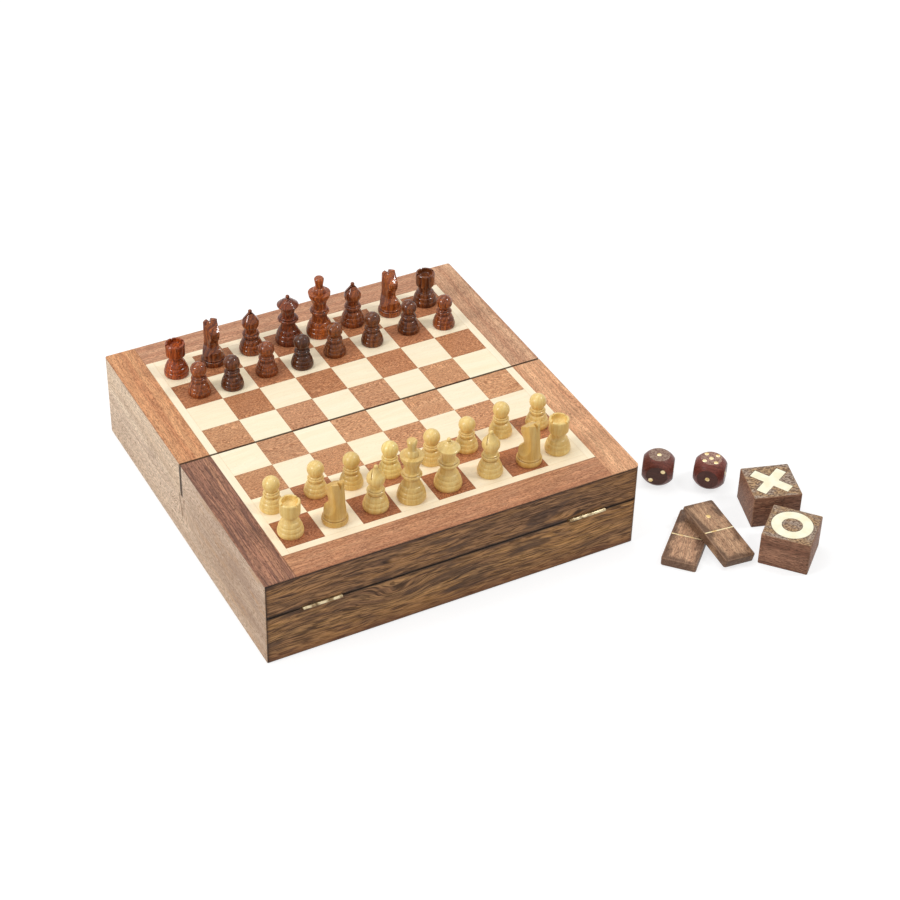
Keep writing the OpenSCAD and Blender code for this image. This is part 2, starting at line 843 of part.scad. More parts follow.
base_walls();
base_floor();
base_dividers();
base_hinge_leaves();
hinge_pins();
stored_dominoes();
stored_blocks();
stored_block_inlays();
lid_walls(-1);  // front_lid_walls
lid_panel(-1);  // front_lid_panel
lid_edging(-1);  // front_lid_edging
lid_pale_veneer(-1);  // front_lid_pale_veneer
lid_dark_squares(-1);  // front_lid_dark_squares
lid_hinge_leaves(-1);  // front_lid_hinge_leaves
lid_walls(1);  // back_lid_walls
lid_panel(1);  // back_lid_panel
lid_edging(1);  // back_lid_edging
lid_pale_veneer(1);  // back_lid_pale_veneer
lid_dark_squares(1);  // back_lid_dark_squares
lid_hinge_leaves(1);  // back_lid_hinge_leaves
left_die();
right_die();
upper_domino();
lower_domino();
cross_block();
cross_inlay();
nought_block();
nought_inlay();
for (m = MEN)
    placed_man(m);
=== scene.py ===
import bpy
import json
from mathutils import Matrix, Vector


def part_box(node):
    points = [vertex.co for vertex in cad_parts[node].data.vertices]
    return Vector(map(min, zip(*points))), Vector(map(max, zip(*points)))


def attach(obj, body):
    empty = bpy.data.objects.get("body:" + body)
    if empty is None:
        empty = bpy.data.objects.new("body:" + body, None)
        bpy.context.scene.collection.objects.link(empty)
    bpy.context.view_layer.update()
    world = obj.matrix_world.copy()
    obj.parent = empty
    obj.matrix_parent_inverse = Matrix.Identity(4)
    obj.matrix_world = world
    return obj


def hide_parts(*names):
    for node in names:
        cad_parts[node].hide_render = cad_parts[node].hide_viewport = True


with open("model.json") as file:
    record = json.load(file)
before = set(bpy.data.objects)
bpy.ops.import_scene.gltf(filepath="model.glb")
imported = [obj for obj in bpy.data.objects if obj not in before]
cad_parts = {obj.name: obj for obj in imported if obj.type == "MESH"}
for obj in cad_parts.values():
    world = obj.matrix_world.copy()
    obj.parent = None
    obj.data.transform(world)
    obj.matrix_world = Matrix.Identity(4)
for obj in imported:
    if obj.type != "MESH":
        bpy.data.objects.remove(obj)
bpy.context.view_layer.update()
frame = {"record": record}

import json
import math
import random

import bmesh
import bpy
from mathutils import Matrix, Vector

mm = 0.001


# ---------------------------------------------------------------- The studio
# A white table in soft light. The camera looks down on the front left corner
# from a step and a half away, through a long lens.

camera_place = Vector((-498.8, -1018.3, 911.7)) * mm
camera_aim = Vector((28.4, -59.8, 60.0)) * mm
camera_tilt = math.radians(1.557)


def aimed(place, aim):
    """How a camera or a lamp stands to face a point."""
    return (aim - place).to_track_quat("-Z", "Y").to_euler()


camera = bpy.data.objects.new("camera", bpy.data.cameras.new("camera"))
camera.data.sensor_width = 36
camera.data.lens = 90.58
camera.data.clip_end = 50
camera.location = camera_place
camera.rotation_euler = aimed(camera_place, camera_aim)
camera.rotation_euler.rotate_axis("Z", camera_tilt)
bpy.context.collection.objects.link(camera)
bpy.context.scene.camera = camera
bpy.context.scene.view_settings.view_transform = "Standard"


def softbox(name, place, width, height, power):
    """A square lamp that faces the middle of the box."""
    lamp = bpy.data.objects.new(name, bpy.data.lights.new(name, "AREA"))
    lamp.data.shape = "RECTANGLE"
    lamp.data.size = width
    lamp.data.size_y = height
    lamp.data.energy = power
    lamp.location = place
    lamp.rotation_euler = aimed(Vector(place), Vector((0, 0, 0.05)))
    bpy.context.collection.objects.link(lamp)


softbox("left_softbox", (-1.7, -0.1, 1.1), 0.6, 0.6, 18)
softbox("right_softbox", (1.0, -0.5, 1.4), 0.25, 0.25, 7)
softbox("overhead_softbox", (-0.1, 0.6, 1.8), 1.4, 0.9, 11)


class Wire:
    """What a shader node puts out. Sums and products of wires and numbers are Math nodes."""

    def __init__(self, socket):
        self.socket = socket

    def __add__(self, other):
        return calculate("ADD", self, other)

    def __sub__(self, other):
        return calculate("SUBTRACT", self, other)

    def __rsub__(self, other):
        return calculate("SUBTRACT", other, self)

    def __mul__(self, other):
        return calculate("MULTIPLY", self, other)

    def __truediv__(self, other):
        return calculate("DIVIDE", self, other)

    def __abs__(self):
        return calculate("ABSOLUTE", self)


def add_node(tree, kind, inputs=(), **settings):
    """Adds a shader node. Its inputs, in order or by name, are wires or values."""
    made = tree.nodes.new("ShaderNode" + kind)
    for setting, value in settings.items():
        setattr(made, setting, value)
    for key, value in inputs.items() if isinstance(inputs, dict) else enumerate(inputs):
        if isinstance(value, Wire):
            tree.links.new(value.socket, made.inputs[key])
        else:
            made.inputs[key].default_value = value
    return made


def outputs(made):
    """All that a node puts out, by name."""
    return {socket.name: Wire(socket) for socket in made.outputs}


def wire(tree, kind, inputs=(), out=0, **settings):
    """Adds a shader node, and gives one of its outputs."""
    return Wire(add_node(tree, kind, inputs, **settings).outputs[out])


def tree_of(values):
    """The node tree that the first wire among some values belongs to."""
    return next(value.socket.id_data for value in values if isinstance(value, Wire))


def calculate(operation, *values, clamp=False):
    return wire(tree_of(values), "Math", values, operation=operation, use_clamp=clamp)


def new_tree(name):
    """A material with an empty node tree, and that tree."""
    material = bpy.data.materials.new(name)
    material.use_nodes = True
    material.node_tree.nodes.clear()
    return material, material.node_tree


def seen_directly(tree):
    """1 for what the camera sees, also in or through a glossy thing, and 0 for light that lands."""
    path = outputs(add_node(tree, "LightPath"))
    glossy = calculate("MAXIMUM", path["Is Glossy Ray"], path["Is Transmission Ray"])
    return calculate("MAXIMUM", path["Is Camera Ray"], glossy)


room_light = 0.41
world = bpy.data.worlds.new("white_room")
bpy.context.scene.world = world
world.use_nodes = True
room = world.node_tree
room.nodes.clear()
strength = wire(room, "MapRange", {"Value": seen_directly(room), "To Min": room_light, "To Max": 1.0})
room_walls = wire(room, "Background", {"Color": (1, 1, 1, 1), "Strength": strength})
add_node(room, "OutputWorld", [room_walls])

table_half = 8
table_glow = 0.74
table_corners = [(x * table_half, y * table_half, 0) for x, y in ((-1, -1), (1, -1), (1, 1), (-1, 1))]
table_mesh = bpy.data.meshes.new("table")
table_mesh.from_pydata(table_corners, [], [(0, 1, 2, 3)])
table = bpy.data.objects.new("table", table_mesh)
bpy.context.collection.objects.link(table)
table_material, tree = new_tree("white_table")
paper = wire(tree, "BsdfDiffuse", {"Color": (0.36, 0.36, 0.36, 1)})
glow = wire(tree, "Emission", {"Color": (1, 1, 1, 1), "Strength": table_glow})
lit_paper = wire(tree, "AddShader", [paper, glow])
plain_paper = wire(tree, "BsdfDiffuse", {"Color": (0.70, 0.70, 0.70, 1)})
table_look = wire(tree, "MixShader", [seen_directly(tree), plain_paper, lit_paper])
add_node(tree, "OutputMaterial", [table_look])
table_mesh.materials.append(table_material)


# ---------------------------------------------------------------- Walls of the base
# Four boards of sheesham, mitred and glued at the corners. Their lower outer edges
# are rounded over, and a rebate inside takes the floor. The front and back boards
# are dark heartwood, the side boards pale sapwood.

base_low, base_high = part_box("base_walls")
box_w = base_high.x - base_low.x
seam_z = base_high.z
pin_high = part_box("hinge_pins")[1]
leaves_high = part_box("base_hinge_leaves")[1]
hinge_l = 25.4 * mm
hinge_x = pin_high.x - hinge_l / 2
pin_out = leaves_high.y - (leaves_high.z - seam_z) - box_w / 2
knuckle_r = 1.05 * mm
leaf_w = 8 * mm
leaf_t = 0.9 * mm

wall_t = 10 * mm
floor_t = 4 * mm
rebate_w = 5 * mm
corner_r = 1.5 * mm
worn_corner_r = 3.5 * mm
foot_r = 1.5 * mm
open_seam = 0.3 * mm
tight_seam = 0.03 * mm
knuckle_cut_r = knuckle_r + 0.2 * mm
notched_l = hinge_l + 2.8 * mm
sides = {"front": 0, "right": 90, "back": 180, "left": 270}


def arc(middle, radius, start, end, steps):
    """Points on an arc, its angles in degrees."""
    angles = [math.radians(start + (end - start) * step / steps) for step in range(steps + 1)]
    return [(middle[0] + radius * math.cos(a), middle[1] + radius * math.sin(a)) for a in angles]


def circle(radius, steps, middle=(0, 0)):
    return arc(middle, radius, 0, 360 - 360 / steps, steps - 1)


def skin(rings, count, first=0):
    """The faces between rings of so many points each, numbered on from the first."""
    return [
        tuple(first + (ring + up) * count + (i + on) % count for up, on in ((0, 0), (0, 1), (1, 1), (1, 0)))
        for ring in range(rings - 1)
        for i in range(count)
    ]


def prism(outline, low, high):
    """An outline in plan, drawn up from one height to another. A solid is its points and its faces."""
    count = len(outline)
    points = [(x, y, z) for z in (low, high) for x, y in outline]
    return points, skin(2, count) + [tuple(range(count - 1, -1, -1)), tuple(range(count, 2 * count))]


def bar(low, high):
    """A rectangular bar between two corners."""
    (x0, y0, z0), (x1, y1, z1) = low, high
    return prism([(x0, y0), (x1, y0), (x1, y1), (x0, y1)], z0, z1)


def moved(solid, matrix):
    points, faces = solid
    return [matrix @ Vector(p) for p in points], faces


def tilt(axis, degrees):
    return Matrix.Rotation(math.radians(degrees), 4, axis)


def at(x, y, z, turn=0):
    """The matrix that turns about Z by so many degrees and moves to a place."""
    return Matrix.Translation((x, y, z)) @ tilt("Z", turn)


def mesh_object(name, points, faces):
    """A new object with these points and faces, its faces turned outwards."""
    mesh = bpy.data.meshes.new(name)
    mesh.from_pydata([tuple(p) for p in points], [], faces)
    shape = bmesh.new()
    shape.from_mesh(mesh)
    bmesh.ops.recalc_face_normals(shape, faces=shape.faces)
    shape.to_mesh(mesh)
    shape.free()
    made = bpy.data.objects.new(name, mesh)
    bpy.context.collection.objects.link(made)
    return made


def modify(piece, kind, **settings):
    modifier = piece.modifiers.new(kind.lower(), kind)
    for setting, value in settings.items():
        setattr(modifier, setting, value)


def worked(solid, kind, *steps):
    """A solid after modifiers of one kind, each given as its settings."""
    blank = mesh_object("blank", *solid)
    for settings in steps:
        modify(blank, kind, **settings)
    bpy.context.view_layer.update()
    mesh = blank.evaluated_get(bpy.context.evaluated_depsgraph_get()).to_mesh()
    result = [v.co.copy() for v in mesh.vertices], [tuple(p.vertices) for p in mesh.polygons]
    bpy.data.objects.remove(blank)
    return result


def cut(solid, cutters, operation="DIFFERENCE"):
    """A solid less other solids, or what it shares with them."""
    tools = [mesh_object("cutter", *cutter) for cutter in cutters]
    steps = [{"operation": operation, "object": tool, "solver": "EXACT"} for tool in tools]
    result = worked(solid, "BOOLEAN", *steps)
    for tool in tools:
        bpy.data.objects.remove(tool)
    return result


def rounding(width, steps, angle):
    """A bevel's settings: it rounds the edges that are sharper than so many degrees."""
    return {"width": width, "segments": steps, "limit_method": "ANGLE", "angle_limit": math.radians(angle)}


def board(section, left, right):
    """A board along X with its outer face at y = 0. Section is its outline, depth and height.
    An end is its x and the radius of its outer corner, and is mitred, or its x and None, and is square."""
    rings = {-1: [], 1: []}
    corner_steps = 5
    for sign, (end, radius) in ((-1, left), (1, right)):
        for step in range(corner_steps + 1 if radius else 1):
            angle = math.radians(45 * step / corner_steps)
            back = radius * (1 - math.sin(angle)) if radius else 0
            least = radius * (1 - math.cos(angle)) if radius else 0
            ring = []
            for depth, z in section:
                depth = max(depth, least)
                mitre = depth if radius else 0
                ring.append((sign * (sign * end - max(back, mitre)), depth, z))
            rings[sign].append(ring)
    rings = rings[-1][::-1] + rings[1]
    numbers, points, index = {}, [], []
    for point in (p for ring in rings for p in ring):
        key = tuple(round(c, 7) for c in point)
        if key not in numbers:
            numbers[key] = len(points)
            points.append(point)
        index.append(numbers[key])
    count = len(section)
    faces = [tuple(dict.fromkeys(index[c] for c in corners)) for corners in skin(len(rings), count)]
    faces = [face for face in faces if len(face) > 2]
    return points, faces + [tuple(index[:count][::-1]), tuple(index[-count:])]


wood_random = random.Random(7)
point_values = ("grain", "place", "half", "tint")


def wood_part(solid, grain=(1, 0, 0), up=(0, 0, 1), tint=(1, 1, 1), shift=None):
    """A solid of wood with what its material needs: how it lies in its plank, where its edges are,
    and its own tint. Grain is the way of the fibres, and up is square to the broad face."""
    points, faces = solid
    along = Vector(grain).normalized()
    across = Vector(up).cross(along).normalized()
    through = along.cross(across)
    own = [Vector((along.dot(p), across.dot(p), through.dot(p))) for p in map(Vector, points)]
    low = Vector([min(p[i] for p in own) for i in range(3)])
    high = Vector([max(p[i] for p in own) for i in range(3)])
    half = (high - low) / 2
    middle = (high + low) / 2
    if shift is None:
        shift = [wood_random.uniform(-1, 1) for _ in range(3)]
    return {
        "points": points,
        "faces": faces,
        "grain": [p + Vector(shift) for p in own],
        "place": [[(p[i] - middle[i]) / half[i] for i in range(3)] for p in own],
        "half": [half] * len(points),
        "tint": [tint] * len(points),
    }


def build(name, body, material, parts, replaces=(), edge=None, crisp=35):
    """Joins wood parts into one piece, eases its edges, and lets it ride on a body."""
    points, faces = [], []
    for part in parts:
        faces += [tuple(len(points) + i for i in face) for face in part["faces"]]
        points += part["points"]
    piece = mesh_object(name, points, faces)
    for key in point_values:
        store = piece.data.attributes.new(key, "FLOAT_VECTOR", "POINT")
        store.data.foreach_set("vector", [n for part in parts for vector in part[key] for n in vector])
    piece.data.materials.append(material)
    piece.data.shade_smooth()
    if edge:
        modify(piece, "BEVEL", **rounding(edge, 2, crisp))
        modify(piece, "WEIGHTED_NORMAL")
    else:
        piece.data.set_sharp_from_angle(angle=math.radians(crisp))
    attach(piece, body)
    if replaces:
        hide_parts(*replaces)


def new_group(name, vectors, numbers, results):
    """An effect that several materials use: a node group with named inputs and outputs."""
    group = bpy.data.node_groups.new(name, "ShaderNodeTree")
    lists = ((vectors, "INPUT", "Vector"), (numbers, "INPUT", "Float"), (results, "OUTPUT", "Float"))
    for titles, way, kind in lists:
        for title in titles:
            group.interface.new_socket(title, in_out=way, socket_type="NodeSocket" + kind)
    return group, outputs(group.nodes.new("NodeGroupInput")), group.nodes.new("NodeGroupOutput").inputs


def vector_maths(operation, *vectors, out=0):
    return wire(tree_of(vectors), "VectorMath", vectors, out, operation=operation)


def vector_of(x, y, z):
    return wire(x.socket.id_data, "CombineXYZ", [x, y, z])


def xyz(vector):
    """The three shares of a vector."""
    return list(outputs(add_node(vector.socket.id_data, "SeparateXYZ", [vector])).values())


def stretched_noise(vector, size, detail=2.0, roughness=0.5):
    """Noise whose cells measure size along, across and through the wood."""
    scaled = vector_maths("DIVIDE", vector, size)
    cells = {"Vector": scaled, "Scale": 1.0, "Detail": detail, "Roughness": roughness}
    return wire(vector.socket.id_data, "TexNoise", cells, "Fac")


def ramp(value, low, high):
    """0 under low, 1 over high, and a smooth step between."""
    limits = {"Value": value, "From Min": low, "From Max": high}
    return wire(value.socket.id_data, "MapRange", limits, interpolation_type="SMOOTHSTEP")


wood_figure, given, made = new_group(
    "wood_figure",
    ["Grain", "Knot"],
    ["Band", "Wander", "Length", "Fibre Length", "Fibre Width", "Pore Length", "Pore Width", "Pore Share"],
    ["Bands", "Streaks", "Fibres", "Pores", "Clouds"],
)
knot_size = (0.02, 0.008, 0.5)
knot_bulge = 0.16
rings_in_swing = 9.0
band, length = given["Band"], given["Length"]
wide, thin = band * 3.0, band * 0.2
clouds = stretched_noise(given["Grain"], vector_of(length, wide, wide))
along, across, through = xyz(given["Grain"])
off_knot = vector_maths("DIVIDE", vector_maths("SUBTRACT", given["Grain"], given["Knot"]), knot_size)
off_knot = vector_maths("DOT_PRODUCT", off_knot, off_knot, out="Value")
swing = (clouds - 0.5) * given["Wander"] + calculate("POWER", 2.718, off_knot * -1.0) * knot_bulge
rings = swing * rings_in_swing + (across + through * 0.6) / band
flow = vector_of(along, across + swing * rings_in_swing * band, through)
ring_cells = {"W": rings, "Scale": 1.0, "Detail": 3.0, "Roughness": 0.55}
ring_noise = wire(wood_figure, "TexNoise", ring_cells, "Fac", noise_dimensions="1D")
streak_noise = stretched_noise(flow, vector_of(length * 0.25, thin, thin), 3.0, 0.6)
fibre_size = vector_of(given["Fibre Length"], given["Fibre Width"], given["Fibre Width"])
pore_size = vector_of(given["Pore Length"], given["Pore Width"], given["Pore Width"])
pore_from = given["Pore Share"] * -0.3 + 0.72
for title, value in (
    ("Bands", ramp(ring_noise, 0.32, 0.68)),
    ("Streaks", ramp(streak_noise, 0.42, 0.62)),
    ("Fibres", ramp(stretched_noise(flow, fibre_size, 3.0, 0.6), 0.36, 0.64)),
    ("Pores", ramp(stretched_noise(flow, pore_size, 1.0), pore_from, pore_from + 0.05)),
    ("Clouds", ramp(clouds, 0.3, 0.7)),
):
    wood_figure.links.new(value.socket, made[title])

edge_shade, given, made = new_group("edge_shade", ["Place", "Half"], ["Reach"], ["Rim", "Edges", "Faces"])
inward = vector_maths("SUBTRACT", (1, 1, 1), vector_maths("ABSOLUTE", given["Place"]))
distances = xyz(vector_maths("MULTIPLY", inward, given["Half"]))
near = [1.0 - ramp(distance / given["Reach"], 0.0, 1.0) for distance in distances]
most_edges = near[0] * near[1] + near[1] * near[2]
for title, value in (
    ("Rim", calculate("MAXIMUM", near[0], near[1])),
    ("Edges", calculate("ADD", most_edges, near[0] * near[2], clamp=True)),
    ("Faces", near[2]),
):
    edge_shade.links.new(value.socket, made[title])


def linear(colour):
    """A colour as it shows, 0 to 255, as the shader's light values."""
    shares = [c / 255 for c in colour]
    return tuple(s / 12.92 if s <= 0.04045 else ((s + 0.055) / 1.055) ** 2.4 for s in shares) + (1.0,)


def mixed(share, first, second):
    """Two colours mixed by a share."""
    sockets = {0: share, 6: first, 7: second}
    return wire(tree_of(sockets.values()), "Mix", sockets, out=2, data_type="RGBA")


def shaded(share, colour, second, depth=1.0):
    """A colour turned towards a second one, 0 to 255, where a mask says so."""
    return mixed(share * depth, colour, linear(second))


def stored(tree, name):
    """What each point of the piece carries under a name."""
    return wire(tree, "Attribute", out="Vector", attribute_name=name)


def edges(tree, reach):
    """The edge masks of a piece, within reach of its edges."""
    inputs = {"Place": stored(tree, "place"), "Half": stored(tree, "half"), "Reach": reach}
    return outputs(add_node(tree, "Group", inputs, node_tree=edge_shade))


def patches(vector, size, low, high, detail=3.0):
    """Patches of a size in millimetres, where the noise goes from low to high."""
    return ramp(stretched_noise(vector, [s * mm for s in size], detail), low, high)


def surfaced(material, colour, rough, height, relief, depth, constants):
    """Gives a material its surface, with what is the same all over it, and ends its tree."""
    tree = material.node_tree
    bump = wire(tree, "Bump", {"Strength": relief, "Distance": depth, "Height": height})
    surface = wire(
        tree, "BsdfPrincipled", {"Base Color": colour, "Roughness": rough, "Normal": bump, **constants}
    )
    add_node(tree, "OutputMaterial", [surface])
    return material


def wood(name, light, middle, dark, pore, band, wander, length, pores, pore_share, pore_depth,
         fibre=(12, 0.8), knot=(9.0, 9.0, 9.0), streaks=0.3, fibres=0.12, roughness=0.45, shine=0.25,
         coat=0.0, coat_roughness=0.15, relief=0.15, change=None):
    """A wood with its figure, and a finish from waxed to lacquered. Band, length, pores and fibre are sizes
    in millimetres. Change(tree, colour, figure) adds what only this wood has, and returns the colour."""
    material, tree = new_tree(name)
    sizes = {"Band": band, "Length": length, "Pore Length": pores[0], "Pore Width": pores[1],
             "Fibre Length": fibre[0], "Fibre Width": fibre[1]}
    inputs = {title: size * mm for title, size in sizes.items()}
    inputs |= {"Grain": stored(tree, "grain"), "Wander": wander, "Knot": knot, "Pore Share": pore_share}
    figure = outputs(add_node(tree, "Group", inputs, node_tree=wood_figure))
    colour = mixed(figure["Bands"], linear(middle), linear(light))
    colour = shaded(figure["Streaks"], colour, dark, streaks)
    colour = shaded(1.0 - figure["Clouds"], colour, dark, 0.5 * streaks)
    sheen = wire(tree, "MapRange", {"Value": figure["Fibres"], "To Min": 1 - fibres, "To Max": 1 + fibres})
    colour = vector_maths("MULTIPLY", colour, vector_of(sheen, sheen, sheen))
    colour = shaded(figure["Pores"], colour, pore, pore_depth)
    if change:
        colour = change(tree, colour, figure)
    colour = vector_maths("MULTIPLY", colour, stored(tree, "tint"))
    rough_pores = {"Value": figure["Pores"], "To Min": roughness, "To Max": min(1.0, roughness + 0.2)}
    height = figure["Fibres"] * 0.3 + figure["Pores"] * -1.0
    constants = {"Specular IOR Level": shine, "Coat Weight": coat, "Coat Roughness": coat_roughness}
    rough = wire(tree, "MapRange", rough_pores)
    return surfaced(material, colour, rough, height, relief, 0.1 * mm, constants)


def own_place(tree):
    """Where a point lies in the closed box: its X, Y and Z."""
    return xyz(wire(tree, "TexCoord", out="Object"))


def facing(tree, axis):
    """1 where a surface faces along X, Y or Z (0, 1, 2), either way, and 0 where it doesn't."""
    return ramp(abs(xyz(wire(tree, "TexCoord", out="Normal"))[axis]), 0.5, 0.9)


def slit_shade(tree, colour, axis=0, full=1.6 * mm, end=1.8 * mm):
    """Painted shade at the saw cut that parts the half lids, standing in for the shadow in the narrow slit:
    near-black on the surfaces beside the cut, and brown on the cut's own faces.
    Axis is the way that the shaded surface faces, and the shade is full to one place and ends at another."""
    _, y, z = own_place(tree)
    slit_shade_mask = (1.0 - ramp(abs(y), full, end)) * ramp(z, seam_z, seam_z + 0.1 * mm)
    # Brown painted shade on the cut's own faces, inside the slit.
    colour = shaded(slit_shade_mask * facing(tree, 1), colour, (112, 80, 54), 0.6)
    # Near-black painted shade on the surfaces beside the slit.
    return shaded(slit_shade_mask * facing(tree, axis), colour, (22, 13, 8), 0.97)


def heartwood_patches_and_seam_shade(tree, colour, figure):
    """Golden patches and smoky ones, darker towards the bottom and along the edges, and near-black
    painted shade along every edge, standing in for the shadow in the open seam.
    """
    gold = figure["Clouds"] * (1.0 - figure["Streaks"])
    colour = shaded(gold, colour, (190, 142, 82), 0.45)
    smoke = patches(stored(tree, "grain"), (35, 9, 50), 0.52, 0.66)
    colour = shaded(smoke, colour, (62, 46, 38), 0.65)
    low_down = 1.0 - ramp(own_place(tree)[2], 1 * mm, 12 * mm)
    colour = shaded(low_down, colour, (112, 68, 44), 0.5)
    colour = shaded(edges(tree, 3 * mm)["Edges"], colour, (66, 44, 32), 0.5)
    # Near-black painted shade along every edge, standing in for the shadow in the open seam.
    return shaded(edges(tree, 1.1 * mm)["Edges"], colour, (22, 14, 9), 0.95)


def browner_to_the_front(tree, colour, figure):
    """The sapwood turns brown towards the front, and is cloudy there. A forked flame, like the split grain
    round a knot, lies under the saw cut."""
    grain = stored(tree, "grain")
    _, y, z = own_place(tree)
    front = ramp(y * -1.0, -40 * mm, 110 * mm)
    colour = shaded(front * (1.0 - figure["Clouds"] * 0.8), colour, (148, 116, 90), 0.7)
    colour = shaded(patches(grain, (50, 10, 50), 0.52, 0.72), colour, (150, 122, 102), 0.4)
    golden = patches(grain, (20, 4, 50), 0.5, 0.7)
    colour = shaded(golden * front, colour, (196, 152, 104), 0.5)
    flame_foot = seam_z - 22 * mm
    flame_spread = 0.16
    off_flame = abs(y) - (z - flame_foot) * flame_spread
    flame = (1.0 - ramp(abs(off_flame), 0.3 * mm, 1.8 * mm)) * ramp(z, flame_foot, seam_z)
    flame = flame * calculate("LESS_THAN", z, seam_z)
    flickers = patches(grain, (1.5, 8, 50), 0.36, 0.52)
    # The last step paints shade beside the saw cut, standing in for the shadow in the slit.
    return slit_shade(tree, shaded(flame * flickers, colour, (116, 82, 52), 0.8))


dark_wall = wood(
    "sheesham_heartwood", light=(192, 148, 100), middle=(156, 116, 80), dark=(78, 54, 38), pore=(48, 33, 24),
    band=6, wander=0.22, length=60, knot=(0.326, 0.024, 0.125), pores=(8, 0.6), pore_share=0.68,
    pore_depth=0.72, streaks=0.65, fibres=0.3, roughness=0.5, change=heartwood_patches_and_seam_shade,
)
pale_wall = wood(
    "sheesham_sapwood", light=(242, 222, 196), middle=(226, 202, 174), dark=(166, 136, 110),
    pore=(122, 96, 76), band=9, wander=0.15, length=110, knot=(270.367, -0.027, 5.525), pores=(3, 0.5),
    pore_share=0.66, pore_depth=0.6, fibre=(5, 0.7), streaks=0.35, roughness=0.5,
    change=browner_to_the_front,
)


def hinge_recess(x):
    """What is cut from the walls for a hinge: room for its leaves and its knuckles."""
    knuckles = prism(circle(knuckle_cut_r, 24), -notched_l / 2, notched_l / 2)
    low = (x - hinge_l / 2, -pin_out, seam_z - leaf_t)
    high = (x + hinge_l / 2, leaf_w - pin_out, seam_z + leaf_t)
    return [moved(knuckles, at(x, -pin_out, seam_z) @ tilt("Y", 90)), bar(low, high)]


wall_tints = {
    "front_lid_front": (1.0, 0.92, 0.94),
    "base_front": (1.26, 1.19, 1.12),
    "front_lid_left": (0.95, 0.9, 0.89),
    "back_lid_left": (1.05, 1.01, 0.97),
    "base_left": (0.95, 0.9, 0.88),
}


def corner(side, end):
    """The radius of the outer corner at the left (-1) or right (1) end of a side, seen from outside."""
    return worn_corner_r if (side, end) in (("front", 1), ("right", -1)) else corner_r


def wall(body, side, section, replaces, left=None, right=None):
    """One board of the box, in its place on its side. Its ends are mitred where nothing else is said."""
    left = left or (-box_w / 2, corner(side, -1))
    right = right or (box_w / 2, corner(side, 1))
    solid = board(section, left, right)
    across = side in ("front", "back")
    if across:
        solid = cut(solid, hinge_recess(-hinge_x) + hinge_recess(hinge_x))
    turn = sides[side]
    part = wood_part(
        moved(solid, at(0, 0, 0, turn) @ at(0, -box_w / 2, 0)),
        grain=(1, 0, 0) if across else (0, 1, 0),
        up=at(0, 0, 0, turn) @ Vector((0, -1, 0)),
        tint=wall_tints.get(f"{body}_{side}", (1, 1, 1)),
        shift=(0.37 + turn + (0.2 if across and body != "base" else 0), 0, 0.02 * turn),
    )
    material = dark_wall if across else pale_wall
    build(f"{body}_{side}_wall", body, material, [part], [replaces], edge=0.25 * mm)


for side in sides:
    top = seam_z - (open_seam if side in ("front", "back") else tight_seam)
    base_section = arc((foot_r, foot_r), foot_r, 270, 180, 5)
    base_section += [(0, top), (wall_t, top), (wall_t, floor_t)]
    base_section += [(wall_t - rebate_w, floor_t), (wall_t - rebate_w, 0)]
    wall("base", side, base_section, "base_walls")


# ---------------------------------------------------------------- Floor of the base
# A thin panel of plywood, let into the rebate of the walls and glued.

def ply_edge(tree, colour, figure):
    """The plies show as dark and pale lines where the sheet's edge is open."""
    height = xyz(stored(tree, "place"))[2]
    plies = ramp(calculate("SINE", height * 9.4), -0.2, 0.4)
    lines = plies * edges(tree, 0.3 * mm)["Rim"]
    # The last step paints shade beside the saw cut between the half lids, standing in for the shadow in the
    # slit.
    return slit_shade(tree, shaded(lines, colour, (150, 110, 72), 0.7))


ply = wood(
    "birch_ply", light=(222, 192, 148), middle=(204, 170, 124), dark=(178, 140, 96), pore=(150, 114, 76),
    band=14, wander=1.4, length=160, pores=(4, 0.4), pore_share=0.3, pore_depth=0.4, roughness=0.55,
    change=ply_edge,
)


def box_of(node):
    """The rectangular solid that a node fills."""
    return bar(*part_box(node))


floor_part = wood_part(box_of("base_floor"))
build("floor_panel", "base", ply, [floor_part], ["base_floor"], edge=0.2 * mm)


# ---------------------------------------------------------------- Dividers
# Four strips of ply stand on the floor and part the base into wells for the blocks,
# the men, the dominoes and the dice. Their upper edges are rounded over.

well_low, well_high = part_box("base_dividers")
divider_t = 5 * mm
long_dividers_x = (-18.5 * mm, 57.5 * mm)
blocks_divider_y = -18.5 * mm
dice_divider_y = 59.2 * mm


def eased(solid, edge, steps=2):
    """A solid with its edges rounded over."""
    return worked(solid, "BEVEL", rounding(edge, steps, 35))


def lengthways(x0, y0, x1, y1):
    """The grain runs along the longer side."""
    return (0, 1, 0) if y1 - y0 > x1 - x0 else (1, 0, 0)


divider_boxes = [(x, well_low.y, x + divider_t, well_high.y) for x in long_dividers_x]
divider_boxes.append((well_low.x, blocks_divider_y, long_dividers_x[0], blocks_divider_y + divider_t))
dice_divider_x = long_dividers_x[1] + divider_t
divider_boxes.append((dice_divider_x, dice_divider_y, well_high.x, dice_divider_y + divider_t))
divider_parts = []
for x0, y0, x1, y1 in divider_boxes:
    strip = eased(bar((x0, y0, well_low.z), (x1, y1, well_high.z)), 0.9 * mm, 3)
    grain = lengthways(x0, y0, x1, y1)
    divider_parts.append(wood_part(strip, grain=grain, up=(1, 0, 0) if grain[1] else (0, 1, 0)))
build("dividers", "base", ply, divider_parts, ["base_dividers"])


# ---------------------------------------------------------------- Hinges
# Four small butt hinges of pressed brass, let in flush at the seam: a lower leaf with
# two knuckles, an upper leaf with one, a pin, and two countersunk screws in each leaf.

